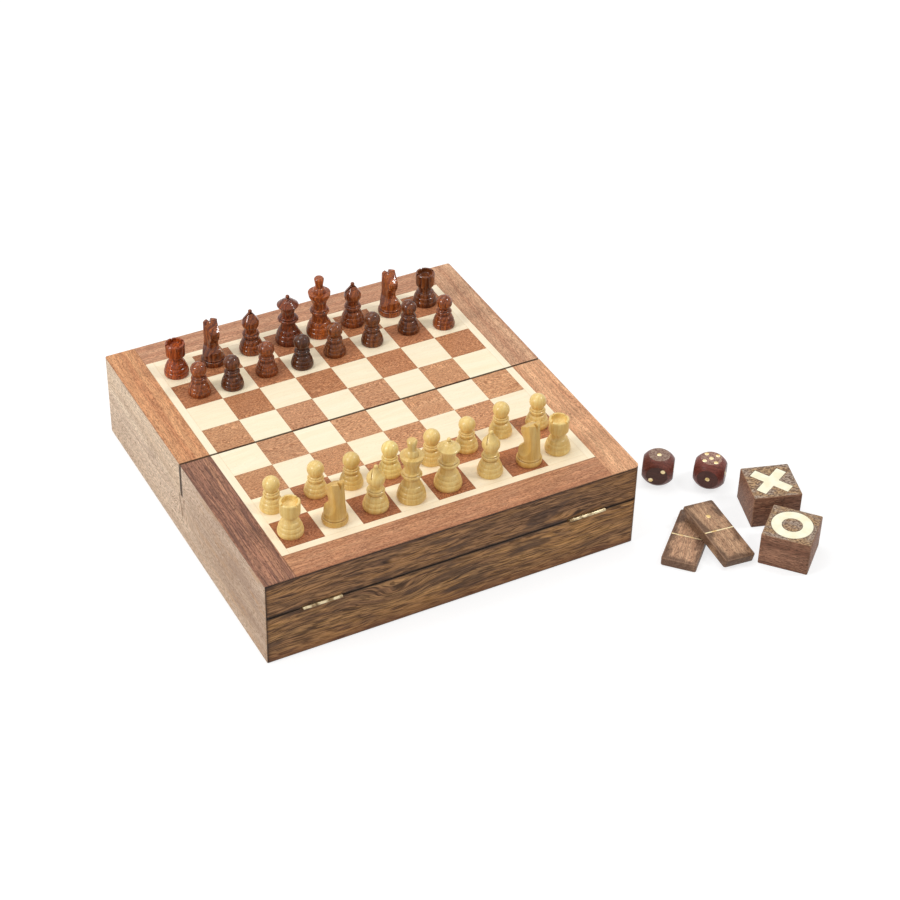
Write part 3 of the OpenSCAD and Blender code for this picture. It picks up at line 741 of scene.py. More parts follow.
def tarnished(name, colour, worn, roughness):
    """Metal, duller and browner where it is tarnished, with fine scratches."""
    material, tree = new_tree(name)
    where = wire(tree, "TexCoord", out="Object")
    tarnish = patches(where, (4, 4, 4), 0.38, 0.66, 2.0)
    scratches = stretched_noise(where, (0.004, 0.0002, 0.0002))
    tone = mixed(tarnish, linear(colour), linear(worn))
    rough = wire(tree, "MapRange", {"Value": tarnish, "To Min": roughness, "To Max": roughness + 0.2})
    return surfaced(material, tone, rough, scratches, 0.15, 0.05 * mm, {"Metallic": 0.9})


hinge_brass = tarnished("hinge_brass", (222, 206, 168), (146, 122, 88), 0.34)
knuckle_l = hinge_l / 3
knuckle_gap = 0.3 * mm
pin_r = 0.6 * mm
screw_r = 1.7 * mm
screw_places = [(x * hinge_l / 4, 0.62 * leaf_w) for x in (-1, 1)]
sideways = Matrix(((0, 0, 1, 0), (1, 0, 0, 0), (0, 1, 0, 0), (0, 0, 0, 1)))


def drum(outline, steps):
    """A round solid with flat ends from its half outline, (radius, height) from the bottom up."""
    points = [(*p, z) for radius, z in outline for p in circle(radius, steps)]
    ends = [tuple(range(steps)), tuple(range(len(points) - steps, len(points)))]
    return points, skin(len(outline), steps) + ends


def turned_bar(radius, length, edge):
    """A round bar along X from -length / 2 to length / 2, with chamfered ends."""
    half = length / 2
    outline = [(radius - edge, -half), (radius, edge - half), (radius, half - edge), (radius - edge, half)]
    return moved(drum(outline, 32), sideways)


def plain_part(solid):
    """A part of metal or glued-in material, which has no grain."""
    return wood_part(solid, shift=(0, 0, 0))


def drill(radius, depth):
    """What a drill takes away, down from z = 0 and up above it."""
    return prism(circle(radius, 24), -depth, depth)


def leaf_plate(direction):
    """One leaf's plate, with rounded corners and a countersunk hole for each screw."""
    outline = [(-hinge_l / 2, 0), (hinge_l / 2, 0)]
    outline += arc((hinge_l / 2 - 1 * mm, leaf_w - 1.1 * mm), 1 * mm, 0, 90, 5)
    outline += arc((1 * mm - hinge_l / 2, leaf_w - 1.1 * mm), 1 * mm, 90, 180, 5)
    low, high = sorted((0, direction * leaf_t))
    room = turned_bar(knuckle_cut_r, hinge_l + 1 * mm, 0)
    holes = [moved(drill(screw_r + 0.1 * mm, 2 * leaf_t), at(x, y, 0)) for x, y in screw_places]
    return cut(prism(outline, low, high), [room] + holes)


def screws(direction):
    """Two screw heads with their slots, a little under the leaf's inner face."""
    head = moved(turned_bar(screw_r, 0.7 * mm, 0.12 * mm), tilt("Y", 90))
    slot = bar((-screw_r, -0.2 * mm, 0.05 * mm), (screw_r, 0.2 * mm, 0.5 * mm))
    head = moved(cut(head, [slot]), tilt("X", 90 + 90 * direction))
    return [moved(head, at(x, y, direction * 0.4 * mm, 25 * x / screw_r)) for x, y in screw_places]


def hinge_parts(which):
    """The parts of one hinge that belong to its lower leaf, its upper leaf or its pin."""
    if which == "pin":
        return [turned_bar(pin_r, hinge_l, 0.2 * mm)]
    direction = -1 if which == "lower" else 1
    parts = [leaf_plate(direction)] + screws(direction)
    web_t = 0.8 * leaf_t
    web_half = knuckle_l / 2 - knuckle_gap
    for i in (-1, 1) if which == "lower" else (0,):
        knuckle = turned_bar(knuckle_r, knuckle_l - knuckle_gap, 0.25 * mm)
        web = bar((-web_half, 0, 0), (web_half, knuckle_cut_r + 0.1 * mm, web_t))
        parts.append(moved(knuckle, at(i * knuckle_l, 0, 0)))
        parts.append(moved(web, at(i * knuckle_l, 0, min(0, direction * web_t))))
    return parts


def build_hinges(name, body, which, ends, replaces):
    """Those parts of the hinges at the front (-1) and back (1), as one piece."""
    placed = []
    for end in ends:
        for x in (-hinge_x, hinge_x):
            spot = at(x, end * (box_w / 2 + pin_out), seam_z, 180 if end > 0 else 0)
            placed += [plain_part(moved(solid, spot)) for solid in hinge_parts(which)]
    build(name, body, hinge_brass, placed, [replaces])


build_hinges("lower_hinge_leaves", "base", "lower", (-1, 1), "base_hinge_leaves")
build_hinges("pins", "base", "pin", (-1, 1), "hinge_pins")
for lid, end in (("front_lid", -1), ("back_lid", 1)):
    build_hinges(f"{lid}_upper_leaves", lid, "upper", (end,), f"{lid}_hinge_leaves")


# ---------------------------------------------------------------- Half lids
# The box was glued up closed and sawn apart: the lids' boards carry on the figure of
# the base's. A saw cut at the middle parts the front lid from the back one, and a
# sheet of ply in a rebate closes the top, flush with the walls, under the veneer.

lid_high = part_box("front_lid_walls")[1]
half_cut = abs(lid_high.y)
wall_top = lid_high.z
panel_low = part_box("front_lid_panel")[0]
sawn_left = {"left": (half_cut, None)}
sawn_right = {"right": (-half_cut, None)}
sawn_ends = {
    ("front_lid", "left"): sawn_left,
    ("front_lid", "right"): sawn_right,
    ("back_lid", "left"): sawn_right,
    ("back_lid", "right"): sawn_left,
}
for lid, way in (("front_lid", -1), ("back_lid", 1)):
    for side in (lid.removesuffix("_lid"), "left", "right"):
        low = seam_z + (open_seam if side in ("front", "back") else tight_seam)
        inner = wall_t - rebate_w
        lid_section = [(0, low), (0, wall_top), (inner, wall_top), (inner, panel_low.z)]
        lid_section += [(wall_t, panel_low.z), (wall_t, low)]
        wall(lid, side, lid_section, f"{lid}_walls", **sawn_ends.get((lid, side), {}))
    sheet = wood_part(box_of(f"{lid}_panel"), shift=(way, 0, 0))
    build(f"{lid}_sheet", lid, ply, [sheet], [f"{lid}_panel"])


# ---------------------------------------------------------------- Brown strips
# Four strips of sawn veneer round the board, in other woods than the walls: the side
# strips run the full length, and the front and back ones butt between them.

veneer_low, veneer_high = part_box("front_lid_edging")
strip_w = 20 * mm
joint = 0.02 * mm
strip_in = box_w / 2 - strip_w
cut_shade = {"axis": 2, "full": half_cut + 0.25 * mm, "end": half_cut + 0.5 * mm}


def dark_joints_and_cut_shade(tree, colour, figure):
    """Glue and dust darken the joint round a piece of veneer."""
    joint_line = mixed(0.55, colour, linear((96, 60, 40)))
    # At the saw cut between the half lids the veneer gets painted shade, standing in for the shadow in the
    # slit.
    return slit_shade(tree, mixed(edges(tree, 0.35 * mm)["Rim"] * 0.6, colour, joint_line), **cut_shade)


strip_wood = wood(
    "mahogany_strips", light=(218, 164, 122), middle=(196, 138, 100), dark=(154, 98, 68), pore=(118, 68, 46),
    band=5, wander=0.25, length=110, pores=(1.8, 0.4), pore_share=0.62, pore_depth=0.5, fibre=(6, 0.7),
    streaks=0.25, fibres=0.2, roughness=0.42, change=dark_joints_and_cut_shade,
)
streaked_wood = wood(
    "streaked_walnut", light=(196, 142, 108), middle=(168, 118, 92), dark=(98, 64, 54), pore=(80, 50, 40),
    band=4, wander=0.3, length=150, pores=(3, 0.5), pore_share=0.55, pore_depth=0.6, fibre=(12, 0.9),
    streaks=0.75, fibres=0.2, roughness=0.42, change=dark_joints_and_cut_shade,
)


def rounded_outline(x0, y0, x1, y1, radii):
    """A rectangle in plan with rounded corners: front left, front right, back right, back left."""
    outline = []
    spots = ((x0, y0, 1, 1, 180), (x1, y0, -1, 1, 270), (x1, y1, -1, -1, 0), (x0, y1, 1, -1, 90))
    for (x, y, sx, sy, start), radius in zip(spots, radii):
        if radius:
            outline += arc((x + sx * radius, y + sy * radius), radius, start, start + 90, 5)
        else:
            outline.append((x, y))
    return outline


edge = box_w / 2
square = (0, 0, 0, 0)
strips = {
    "front_lid_left": ((-edge, -edge, -strip_in, -half_cut), (corner_r, 0, 0, 0), streaked_wood, (1, 1, 1)),
    "front_lid_front": ((-strip_in, -edge, strip_in, -strip_in), square, strip_wood, (0.86, 0.83, 0.83)),
    "front_lid_right": (
        (strip_in, -edge, edge, -half_cut), (0, worn_corner_r, 0, 0), strip_wood, (1.24, 1.37, 1.43)
    ),
    "back_lid_left": ((-edge, half_cut, -strip_in, edge), (0, 0, 0, corner_r), strip_wood, (1.1, 1.08, 0.98)),
    "back_lid_back": ((-strip_in, strip_in, strip_in, edge), square, strip_wood, (0.94, 0.98, 1.1)),
    "back_lid_right": ((strip_in, half_cut, edge, edge), (0, 0, corner_r, 0), strip_wood, (1.03, 1.18, 1.34)),
}
for name, ((x0, y0, x1, y1), radii, material, tint) in strips.items():
    lid = name.rpartition("_")[0]
    inset = joint / 2
    outline = rounded_outline(x0 + inset, y0 + inset, x1 - inset, y1 - inset, radii)
    solid = prism(outline, veneer_low.z, veneer_high.z)
    part = wood_part(solid, grain=lengthways(x0, y0, x1, y1), tint=tint)
    build(f"{name}_strip", lid, material, [part], [f"{lid}_edging"], edge=0.15 * mm)


# ---------------------------------------------------------------- Squares and pale line
# Sixty-four squares of veneer with a pale line round them. The pale ones are maple,
# nearly plain, and the dark ones sapele, speckled, with the grain from left to right.

square_w = 25 * mm
board_half = 4 * square_w
line_half = board_half + 5 * mm


def veneer(x0, y0, x1, y1):
    """A flat piece of veneer, less the joint all round."""
    return bar((x0 + joint, y0 + joint, veneer_low.z), (x1 - joint, y1 - joint, veneer_high.z))


def pale_joints_and_cut_shade(tree, colour, figure):
    """Pale veneer hardly shows its joints."""
    # At the saw cut between the half lids the veneer gets painted shade, standing in for the shadow in the
    # slit.
    return slit_shade(tree, shaded(edges(tree, 0.3 * mm)["Rim"], colour, (222, 190, 144), 0.35), **cut_shade)


maple = wood(
    "maple_veneer", light=(254, 241, 213), middle=(252, 236, 205), dark=(238, 214, 176), pore=(226, 200, 158),
    band=6, wander=0.3, length=60, pores=(1.2, 0.3), pore_share=0.35, pore_depth=0.25, fibre=(9, 0.8),
    streaks=0.1, fibres=0.02, roughness=0.4, relief=0.05, change=pale_joints_and_cut_shade,
)
sapele = wood(
    "sapele_veneer", light=(218, 164, 122), middle=(212, 156, 114), dark=(176, 118, 82), pore=(140, 88, 58),
    band=3, wander=0.4, length=40, pores=(1.5, 0.35), pore_share=0.76, pore_depth=0.68, fibre=(2.5, 0.5),
    fibres=0.2, roughness=0.42, change=dark_joints_and_cut_shade,
)
square_random = random.Random(20)
# By rank: partly the leaves' own tone, partly painted shade of the men on the end ranks.
rank_tints_and_shade = [(0.66, 0.5, 0.42), (0.76, 0.62, 0.54), (0.96, 0.96, 0.94), (1.0, 1.04, 1.04),
              (0.96, 0.97, 0.97), (0.82, 0.72, 0.64), (0.78, 0.64, 0.56), (0.74, 0.6, 0.52)]


def square_tint(rank, file):
    """The squares of the end ranks, where the men stand, are darker and redder than those near the middle:
    partly paler leaves in the middle, partly painted shade of the men. Along a rank they grow a little
    lighter to the right.
    """
    shade = 1.0 + 0.017 * file + square_random.uniform(-0.03, 0.03)
    red, green, blue = rank_tints_and_shade[rank]
    return shade * red, shade * green, shade * blue * square_random.uniform(0.97, 1.03)


for lid, sign, ranks in (("front_lid", -1, range(4)), ("back_lid", 1, range(4, 8))):
    pale_parts, dark_parts = [], []
    for rank in ranks:
        for file in range(8):
            x0 = (file - 4) * square_w
            y0 = half_cut if rank == 4 else (rank - 4) * square_w
            y1 = -half_cut if rank == 3 else (rank - 4) * square_w + square_w
            solid = veneer(x0, y0, x0 + square_w, y1)
            if (file + rank) % 2:
                shade = square_random.uniform(0.97, 1.01)
                tint = (shade, shade, shade * square_random.uniform(0.97, 1.0))
                pale_parts.append(wood_part(solid, tint=tint))
            else:
                dark_parts.append(wood_part(solid, tint=square_tint(rank, file)))
    far, near = sorted((sign * line_half, sign * board_half))
    start, end = sorted((sign * half_cut, sign * line_half))
    pale_parts.append(wood_part(veneer(-board_half, far, board_half, near)))
    for x in (-line_half, board_half):
        line = veneer(x, start, x + line_half - board_half, end)
        pale_parts.append(wood_part(line, grain=(0, 1, 0)))
    build(f"{lid}_pale_squares", lid, maple, pale_parts, [f"{lid}_pale_veneer"])
    build(f"{lid}_brown_squares", lid, sapele, dark_parts, [f"{lid}_dark_squares"])


# ---------------------------------------------------------------- Dominoes
# Flat tiles of sheesham, darker here and there towards the edges, with a brass strip let in
# across the middle and brass pins for the pips. Two lie beside the box, and the rest
# stand on edge in their trough.

domino_w = 22.5 * mm
domino_l = 50.5 * mm
domino_t = 6 * mm
line_w = 0.8 * mm
line_inset = 0.4 * mm
pip_r = 1.5 * mm
pip_depth = 1.5 * mm
pip_play = 0.06 * mm

inlay_brass = tarnished("inlay_brass", (250, 232, 188), (226, 196, 134), 0.38)


def dark_rim_pale_edges(tree, colour, figure):
    """Dark here and there towards the edges and on the sides, and pale along the edges themselves:
    partly wear, partly painted highlight.
    """
    grain = stored(tree, "grain")
    ragged = (stretched_noise(grain, (0.012, 0.009, 0.009), 3.0) - 0.5) * 3.0 - 0.1
    rim = calculate("ADD", edges(tree, 8 * mm)["Rim"], ragged, clamp=True)
    colour = shaded(ramp(rim, 0.1, 0.9), colour, (72, 48, 36), 0.75)
    speckle = patches(grain, (1.8, 0.6, 0.6), 0.5, 0.6, 2.0)
    colour = shaded(speckle, colour, (70, 48, 34), 0.35)
    # Pale along the edges: partly wear, partly painted highlight.
    return shaded(edges(tree, 0.8 * mm)["Edges"], colour, (190, 152, 120), 0.4)


domino_wood = wood(
    "domino_sheesham", light=(222, 180, 142), middle=(194, 152, 118), dark=(124, 88, 66), pore=(72, 48, 36),
    band=4, wander=0.4, length=40, pores=(2.2, 0.5), pore_share=0.55, pore_depth=0.45, fibre=(6, 0.8),
    streaks=0.35, roughness=0.42, change=dark_rim_pale_edges,
)


def pip_spots(number):
    """Where the pips of a number sit, in steps from the middle."""
    spots = [(0, 0)] if number % 2 else []
    spots += [(-1, -1), (1, 1)] if number > 1 else []
    spots += [(-1, 1), (1, -1)] if number > 3 else []
    return spots + ([(0, -1), (0, 1)] if number == 6 else [])


def pipped(body, places):
    """A body drilled for its pips, and their brass pins, whose heads are a little domed."""
    outline = [(pip_r, -pip_depth), (pip_r, -0.1 * mm), (0.85 * pip_r, -0.02 * mm), (0.4 * pip_r, 0)]
    holes = [moved(drill(pip_r + pip_play, pip_depth), place) for place in places]
    return cut(body, holes), [moved(drum(outline, 24), place) for place in places]


def domino(far, near):
    """The wood and the brass of a domino, its middle at the origin, by the numbers on its halves."""
    top = domino_t / 2
    end = domino_w / 2 - line_inset
    outline = rounded_outline(-domino_w / 2, -domino_l / 2, domino_w / 2, domino_l / 2, (1.5 * mm,) * 4)
    tile = eased(prism(outline, -top, top), 0.6 * mm, 3)
    half_groove = line_w / 2 + pip_play
    groove_room = bar((-domino_w, -half_groove, top - line_w), (domino_w, half_groove, 2 * top))
    places = [
        at(x * domino_w / 4, y * domino_w / 4 + half * domino_l / 4, top)
        for half, number in ((1, far), (-1, near))
        for x, y in pip_spots(number)
    ]
    tile, pins = pipped(cut(tile, [groove_room]), places)
    return tile, [bar((-end, -line_w / 2, top - line_w), (end, line_w / 2, top))] + pins


def middle_of(node):
    low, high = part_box(node)
    return (low + high) / 2


lower_turn = -46.5
upper_turn = 1
lower_place = at(*middle_of("lower_domino"), lower_turn)
ridge = Vector((-math.sin(math.radians(lower_turn)), math.cos(math.radians(lower_turn)), 0))
upper_place = at(*middle_of("upper_domino")) @ tilt(ridge, 11.04) @ at(0, 0, 0, upper_turn)
for name, place, far, tint in (
    ("lower_domino", lower_place, 0, (1.06, 1.04, 1.06)),
    ("upper_domino", upper_place, 1, (1, 1, 1)),
):
    tile, metal = domino(far, 0)
    turned = place.to_3x3()
    part = wood_part(
        moved(tile, place), grain=turned @ Vector((0, 1, 0)), up=turned @ Vector((0, 0, 1)), tint=tint
    )
    build(f"{name}_tile", name, domino_wood, [part], [name])
    metal_parts = [plain_part(moved(solid, place)) for solid in metal]
    build(f"{name}_brass", name, inlay_brass, metal_parts)

stored_low, stored_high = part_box("stored_dominoes")
stored_middle = middle_of("stored_dominoes")
numbers = [(far, near) for far in range(7) for near in range(far + 1)][2:]
pitch = (stored_high.y - stored_low.y - domino_t) / (len(numbers) - 1)
stored_tiles, stored_metal = [], []
for index, (far, near) in enumerate(numbers):
    tile, metal = domino(far, near)
    y = stored_low.y + domino_t / 2 + index * pitch
    spot = at(stored_middle.x, y, stored_middle.z) @ tilt("X", 90) @ tilt("Z", 90)
    stored_tiles.append(wood_part(moved(tile, spot), up=(0, 1, 0)))
    stored_metal += [plain_part(moved(solid, spot)) for solid in metal]
build("stored_tiles", "base", domino_wood, stored_tiles, ["stored_dominoes"])
build("stored_tiles_brass", "base", inlay_brass, stored_metal)


# ---------------------------------------------------------------- Noughts and crosses
# Nine chunky blocks of sheesham, each with a cross or a ring of pale metal let into
# its top, in a thin dark line of glue. Two lie beside the box, seven in their well.

block_w = 31.5 * mm
block_h = 23.5 * mm
inlay_depth = 1.5 * mm
glue_w = 0.3 * mm
glue_below = 0.12 * mm
cross_l = 27 * mm
cross_w = 6.8 * mm
ring_r = 13 * mm
ring_hole_r = 6.5 * mm


def grey_top(tree, colour, figure):
    """The sanded top is speckled grey and tan, with a pale edge round it: partly wear, partly painted
    highlight.
    """
    grain = stored(tree, "grain")
    tan = patches(grain, (12, 5, 5), 0.4, 0.6, 2.0)
    greyed = mixed(tan, linear((186, 168, 150)), linear((194, 160, 120)))
    greyed = shaded(patches(grain, (1.6, 0.7, 0.7), 0.47, 0.53), greyed, (82, 60, 46), 0.85)
    colour = mixed(edges(tree, 0.4 * mm)["Faces"] * 0.85, colour, greyed)
    # Pale along the edges: partly wear, partly painted highlight.
    return shaded(edges(tree, 0.8 * mm)["Edges"], colour, (176, 140, 106), 0.4)


block_wood = wood(
    "block_sheesham", light=(176, 128, 100), middle=(142, 96, 72), dark=(82, 52, 38), pore=(62, 42, 32),
    band=3.5, wander=0.35, length=40, pores=(3, 0.5), pore_share=0.6, pore_depth=0.6, fibre=(8, 0.8),
    streaks=0.5, fibres=0.2, roughness=0.5, change=grey_top,
)


def pale_metal():
    """The inlays are of a pale, brushed metal, almost cream."""
    material, tree = new_tree("pale_inlay")
    where = wire(tree, "TexCoord", out="Object")
    brushed = stretched_noise(where, (0.005, 0.0003, 0.0003))
    cloudy = patches(where, (6, 6, 6), 0.3, 0.7, 2.0)
    tone = mixed(cloudy, linear((252, 247, 222)), linear((246, 238, 204)))
    rough = wire(tree, "MapRange", {"Value": brushed, "To Min": 0.35, "To Max": 0.5})
    return surfaced(material, tone, rough, brushed, 0.1, 0.05 * mm, {"Metallic": 0.25})


pale_inlay = pale_metal()
dark_glue = tarnished("dark_glue", (92, 70, 52), (66, 50, 40), 0.7)


def figure_solid(is_cross, grow, low, high):
    """A cross with equal arms, turned by 45 degrees, or a ring."""
    if not is_cross:
        outer, hole = (prism(circle(r, 60), low, high) for r in (ring_r + grow, ring_hole_r - grow))
        return cut(outer, [hole])
    reach, arm = cross_l / 2 + grow, cross_w / 2 + grow
    outline = []
    for turn in range(4):
        spin = Matrix.Rotation(math.radians(90 * turn + 45), 2)
        outline += [tuple(spin @ Vector(p)) for p in ((arm, arm), (arm, reach), (-arm, reach))]
    return prism(outline, low, high)


def block(is_cross):
    """The wood, the glue in the groove and the inlay of a block, the middle of its foot at the origin."""
    cube = eased(bar((-block_w / 2, -block_w / 2, 0), (block_w / 2, block_w / 2, block_h)), 0.9 * mm, 3)
    deep, glue, inlay = (
        figure_solid(is_cross, grow, block_h - inlay_depth, top)
        for grow, top in ((glue_w, 2 * block_h), (0.9 * glue_w, block_h - glue_below), (0, block_h))
    )
    return cut(cube, [deep]), cut(glue, [inlay]), eased(inlay, 0.08 * mm, 1)


block_solids = {True: block(True), False: block(False)}
for name, is_cross, turn in (("cross", True, -17), ("nought", False, -48.5)):
    body = f"{name}_block"
    middle = middle_of(body)
    spot = at(middle.x, middle.y, 0, turn)
    cube, glue, inlay = (moved(solid, spot) for solid in block_solids[is_cross])
    part = wood_part(cube, grain=at(0, 0, 0, turn) @ Vector((1, 0, 0)))
    build(f"{body}_wood", body, block_wood, [part], [body])
    build(f"{body}_glue", body, dark_glue, [plain_part(glue)])
    build(f"{name}_figure", body, pale_inlay, [plain_part(inlay)], [f"{name}_inlay"])

places_in_row = 3
block_pitch = (long_dividers_x[0] - well_low.x) / places_in_row
cubes, glues, inlays = [], [], []
for index in range(2, places_in_row**2):
    x = well_low.x + (index % places_in_row + 0.5) * block_pitch
    y = well_low.y + (index // places_in_row + 0.5) * block_pitch
    cube, glue, inlay = (moved(solid, at(x, y, floor_t)) for solid in block_solids[index % 2 == 0])
    cubes.append(wood_part(cube))
    glues.append(plain_part(glue))
    inlays.append(plain_part(inlay))
build("stored_cubes", "base", block_wood, cubes, ["stored_blocks"])
build("stored_glue", "base", dark_glue, glues)
build("stored_figures", "base", pale_inlay, inlays, ["stored_block_inlays"])


# ---------------------------------------------------------------- Dice
# Two dice of rosewood, tumbled until each flat face is a round disc, with brass pins
# for the pips.

die_w = 20 * mm
die_ball_r = 12.1 * mm
pip_step = 3.7 * mm
greyness = 0.75


def dull_discs(tree, colour, figure):
    """The flat faces are sanded across the fibres: the side discs brown, and the top disc grey and speckled,
    partly from sanding and partly painted light from above.
    """
    discs = [ramp(abs(share), 0.985, 0.997) for share in xyz(stored(tree, "place"))[:2]]
    colour = shaded(calculate("MAXIMUM", *discs), colour, (74, 46, 36), 0.7)
    speckle = patches(stored(tree, "grain"), (1.2, 0.6, 0.6), 0.44, 0.58)
    sanded = mixed(speckle, linear((186, 162, 142)), linear((120, 88, 74)))
    # The grey top disc is partly sanding, partly painted light from above.
    top_disc = ramp(xyz(stored(tree, "place"))[2], 0.985, 0.997)
    return mixed(top_disc * greyness, colour, sanded)


die_wood = wood(
    "rosewood", light=(146, 82, 68), middle=(120, 64, 52), dark=(78, 42, 36), pore=(60, 34, 30),
    band=3, wander=0.4, length=40, pores=(1.6, 0.4), pore_share=0.5, pore_depth=0.5, fibre=(6, 0.8),
    streaks=0.4, roughness=0.36, coat=0.15, coat_roughness=0.3, change=dull_discs,
)


def lathe(outline, steps=48):
    """A turned solid from its half outline, (radius, height) from the bottom up."""
    points = [(0, 0, outline[0][1])]
    points += [(*p, z) for radius, z in outline for p in circle(radius, steps)]
    points.append((0, 0, outline[-1][1]))
    last = 1 + (len(outline) - 1) * steps
    foot_fan = [(0, 1 + (i + 1) % steps, 1 + i) for i in range(steps)]
    top_fan = [(last + i, last + (i + 1) % steps, len(points) - 1) for i in range(steps)]
    return points, foot_fan + skin(len(outline), steps, 1) + top_fan


def die(top, front, right):
    """The wood and the pips of a die, its middle at the origin."""
    half = die_w / 2
    ball = lathe(arc((0, 0), die_ball_r, -89, 89, 60), 96)
    body = cut(bar((-half, -half, -half), (half, half, half)), [ball], "INTERSECT")
    faces = ((top, "X", 0), (7 - top, "X", 180), (front, "X", 90), (7 - front, "X", -90), (right, "Y", 90),
             (7 - right, "Y", -90))
    places = [
        tilt(axis, turn) @ at(x * pip_step, y * pip_step, half)
        for number, axis, turn in faces
        for x, y in pip_spots(number)
    ]
    return pipped(body, places)


for name, turn, numbers, tint in (
    ("left_die", -38, (1, 2, 3), (1, 1, 1)),
    ("right_die", -43.5, (5, 1, 3), (1.08, 0.96, 0.98)),
):
    spot = at(*middle_of(name), turn)
    body, pins = die(*numbers)
    part = wood_part(moved(body, spot), grain=at(0, 0, 0, turn) @ Vector((1, 0, 0)), tint=tint)
    build(f"{name}_wood", name, die_wood, [part], [name], crisp=25)
    build(f"{name}_pips", name, inlay_brass, [plain_part(moved(p, spot)) for p in pins])


# ---------------------------------------------------------------- Chessmen
# Thirty-two men, turned on a lathe. The light ones are boxwood with a satin finish,
# the dark ones sheesham from different sticks, lacquered. Rooks, bishops and knights
# are cut further with a saw and a round cutter.

def bead(radius, middle, thick):
    """A ring with a half-round edge, as its radius at a height."""
    half = thick / 2
    return lambda z: radius - half + math.sqrt(half**2 - (z - middle) ** 2) if abs(z - middle) < half else 0


def ball(radius, middle):
    return lambda z: math.sqrt(radius**2 - (z - middle) ** 2) if abs(z - middle) < radius else 0


def taper(r1, z1, r2, z2, rise=0.0):
    """A stretch between two heights, swelling out by rise, or hollowed by it."""

    def radius(z):
        share = (z - z1) / (z2 - z1)
        return r1 + (r2 - r1) * share + 4 * rise * share * (1 - share) if 0 <= share <= 1 else 0

    return radius


def plinth(r):
    """What all the men stand on, its lower edge eased."""
    return [taper(0.93 * r, 0, 0.96 * r, 0.07 * r), taper(0.96 * r, 0.07 * r, 0.94 * r, 0.45 * r, 0.03 * r)]


def foot(r):
    """The bell of a turned man: two round steps up from the plinth to the waist."""
    return plinth(r) + [
        taper(0.91 * r, 0.45 * r, 0.83 * r, 0.8 * r, 0.03 * r),
        taper(0.79 * r, 0.8 * r, 0.67 * r, 1.15 * r, 0.03 * r),
    ]


def collar_rings(r, z, wide, low, high):
    """The collar: a wide ring between two small ones."""
    return [bead(low, z - 0.175 * r, 0.15 * r), bead(wide, z, 0.21 * r), bead(high, z + 0.175 * r, 0.15 * r)]


def pawn_forms(h, r):
    collar = 0.49 * h
    return foot(r) + collar_rings(r, collar, 0.68 * r, 0.6 * r, 0.58 * r) + [
        taper(0.64 * r, 1.1 * r, 0.54 * r, collar, -0.03 * r),
        taper(0.5 * r, collar, 0.5 * r, collar + 0.38 * r),
        ball(0.7 * r, h - 0.7 * r),
    ]


def rook_forms(h, r):
    neck = 0.54 * h
    cup = 0.64 * h
    return foot(r) + [
        taper(0.64 * r, 1.1 * r, 0.5 * r, neck, -0.05 * r),
        bead(0.6 * r, neck + 0.06 * r, 0.13 * r),
        taper(0.57 * r, neck + 0.1 * r, 0.755 * r, cup, 0.04 * r),
        taper(0.755 * r, cup, 0.775 * r, h - 0.06 * r),
        taper(0.775 * r, h - 0.06 * r, 0.73 * r, h),
    ]


def bishop_forms(h, r):
    collar = 0.41 * h
    head_z = 0.68 * h
    return foot(r) + collar_rings(r, collar, 0.69 * r, 0.6 * r, 0.61 * r) + [
        taper(0.64 * r, 1.1 * r, 0.5 * r, collar, -0.03 * r),
        taper(0.46 * r, collar, 0.46 * r, head_z),
        ball(0.69 * r, head_z),
        taper(0.52 * r, head_z + 0.45 * r, 0.13 * r, 0.94 * h),
        ball(0.16 * r, h - 0.16 * r),
    ]


def queen_forms(h, r):
    collar = 0.49 * h
    rim = 0.79 * h
    step = 0.875 * h
    tip = 0.15 * r
    return foot(r) + collar_rings(r, collar, 0.77 * r, 0.62 * r, 0.65 * r) + [
        taper(0.64 * r, 1.1 * r, 0.5 * r, collar, -0.05 * r),
        taper(0.47 * r, collar, 0.47 * r, collar + 0.4 * r),
        taper(0.47 * r, collar + 0.3 * r, 0.68 * r, rim - 0.06 * r, -0.06 * r),
        bead(0.8 * r, rim, 0.2 * r),
        taper(0.72 * r, rim + 0.07 * r, 0.42 * r, step, 0.03 * r),
        bead(0.42 * r, step, 0.1 * r),
        taper(0.38 * r, step, 0.11 * r, h - 1.6 * tip, -0.03 * r),
        ball(tip, h - tip),
    ]


def king_forms(h, r):
    collar = 0.415 * h
    rim = 0.745 * h
    cone = rim + 0.4 * r
    knob = 0.875 * h
    return foot(r) + collar_rings(r, collar, 0.7 * r, 0.6 * r, 0.62 * r) + [
        taper(0.62 * r, 1.1 * r, 0.5 * r, collar, -0.03 * r),
        taper(0.48 * r, collar, 0.48 * r, collar + 0.5 * r),
        taper(0.48 * r, collar + 0.4 * r, 0.68 * r, rim - 0.45 * r, -0.04 * r),
        taper(0.7 * r, rim - 0.45 * r, 0.8 * r, rim, 0.03 * r),
        taper(0.48 * r, rim, 0.34 * r, cone, 0.04 * r),
        taper(0.29 * r, cone, 0.28 * r, knob),
        taper(0.28 * r, knob, 0.36 * r, h - 0.1 * r),
        taper(0.36 * r, h - 0.1 * r, 0.28 * r, h),
    ]


def knight_forms(h, r):
    """Only the knight's plinth is left round, with one ring on it."""
    return plinth(r) + [bead(0.89 * r, 0.53 * r, 0.17 * r)]


def widest(forms, z, to=None):
    """How far the forms reach from the axis at a height, or at most between two heights."""
    heights = [z] if to is None else [z + (to - z) * step / 6 for step in range(7)]
    return max(form(height) for form in forms for height in heights)


def groove(forms, z):
    """How deep in a groove a height lies, 0 to 1: the man is wider both above and below it."""
    reach, deep = 0.7 * mm, 0.22 * mm
    rise = min(widest(forms, z, z + reach), widest(forms, z, z - reach)) - widest(forms, z)
    return min(1.0, rise / deep)


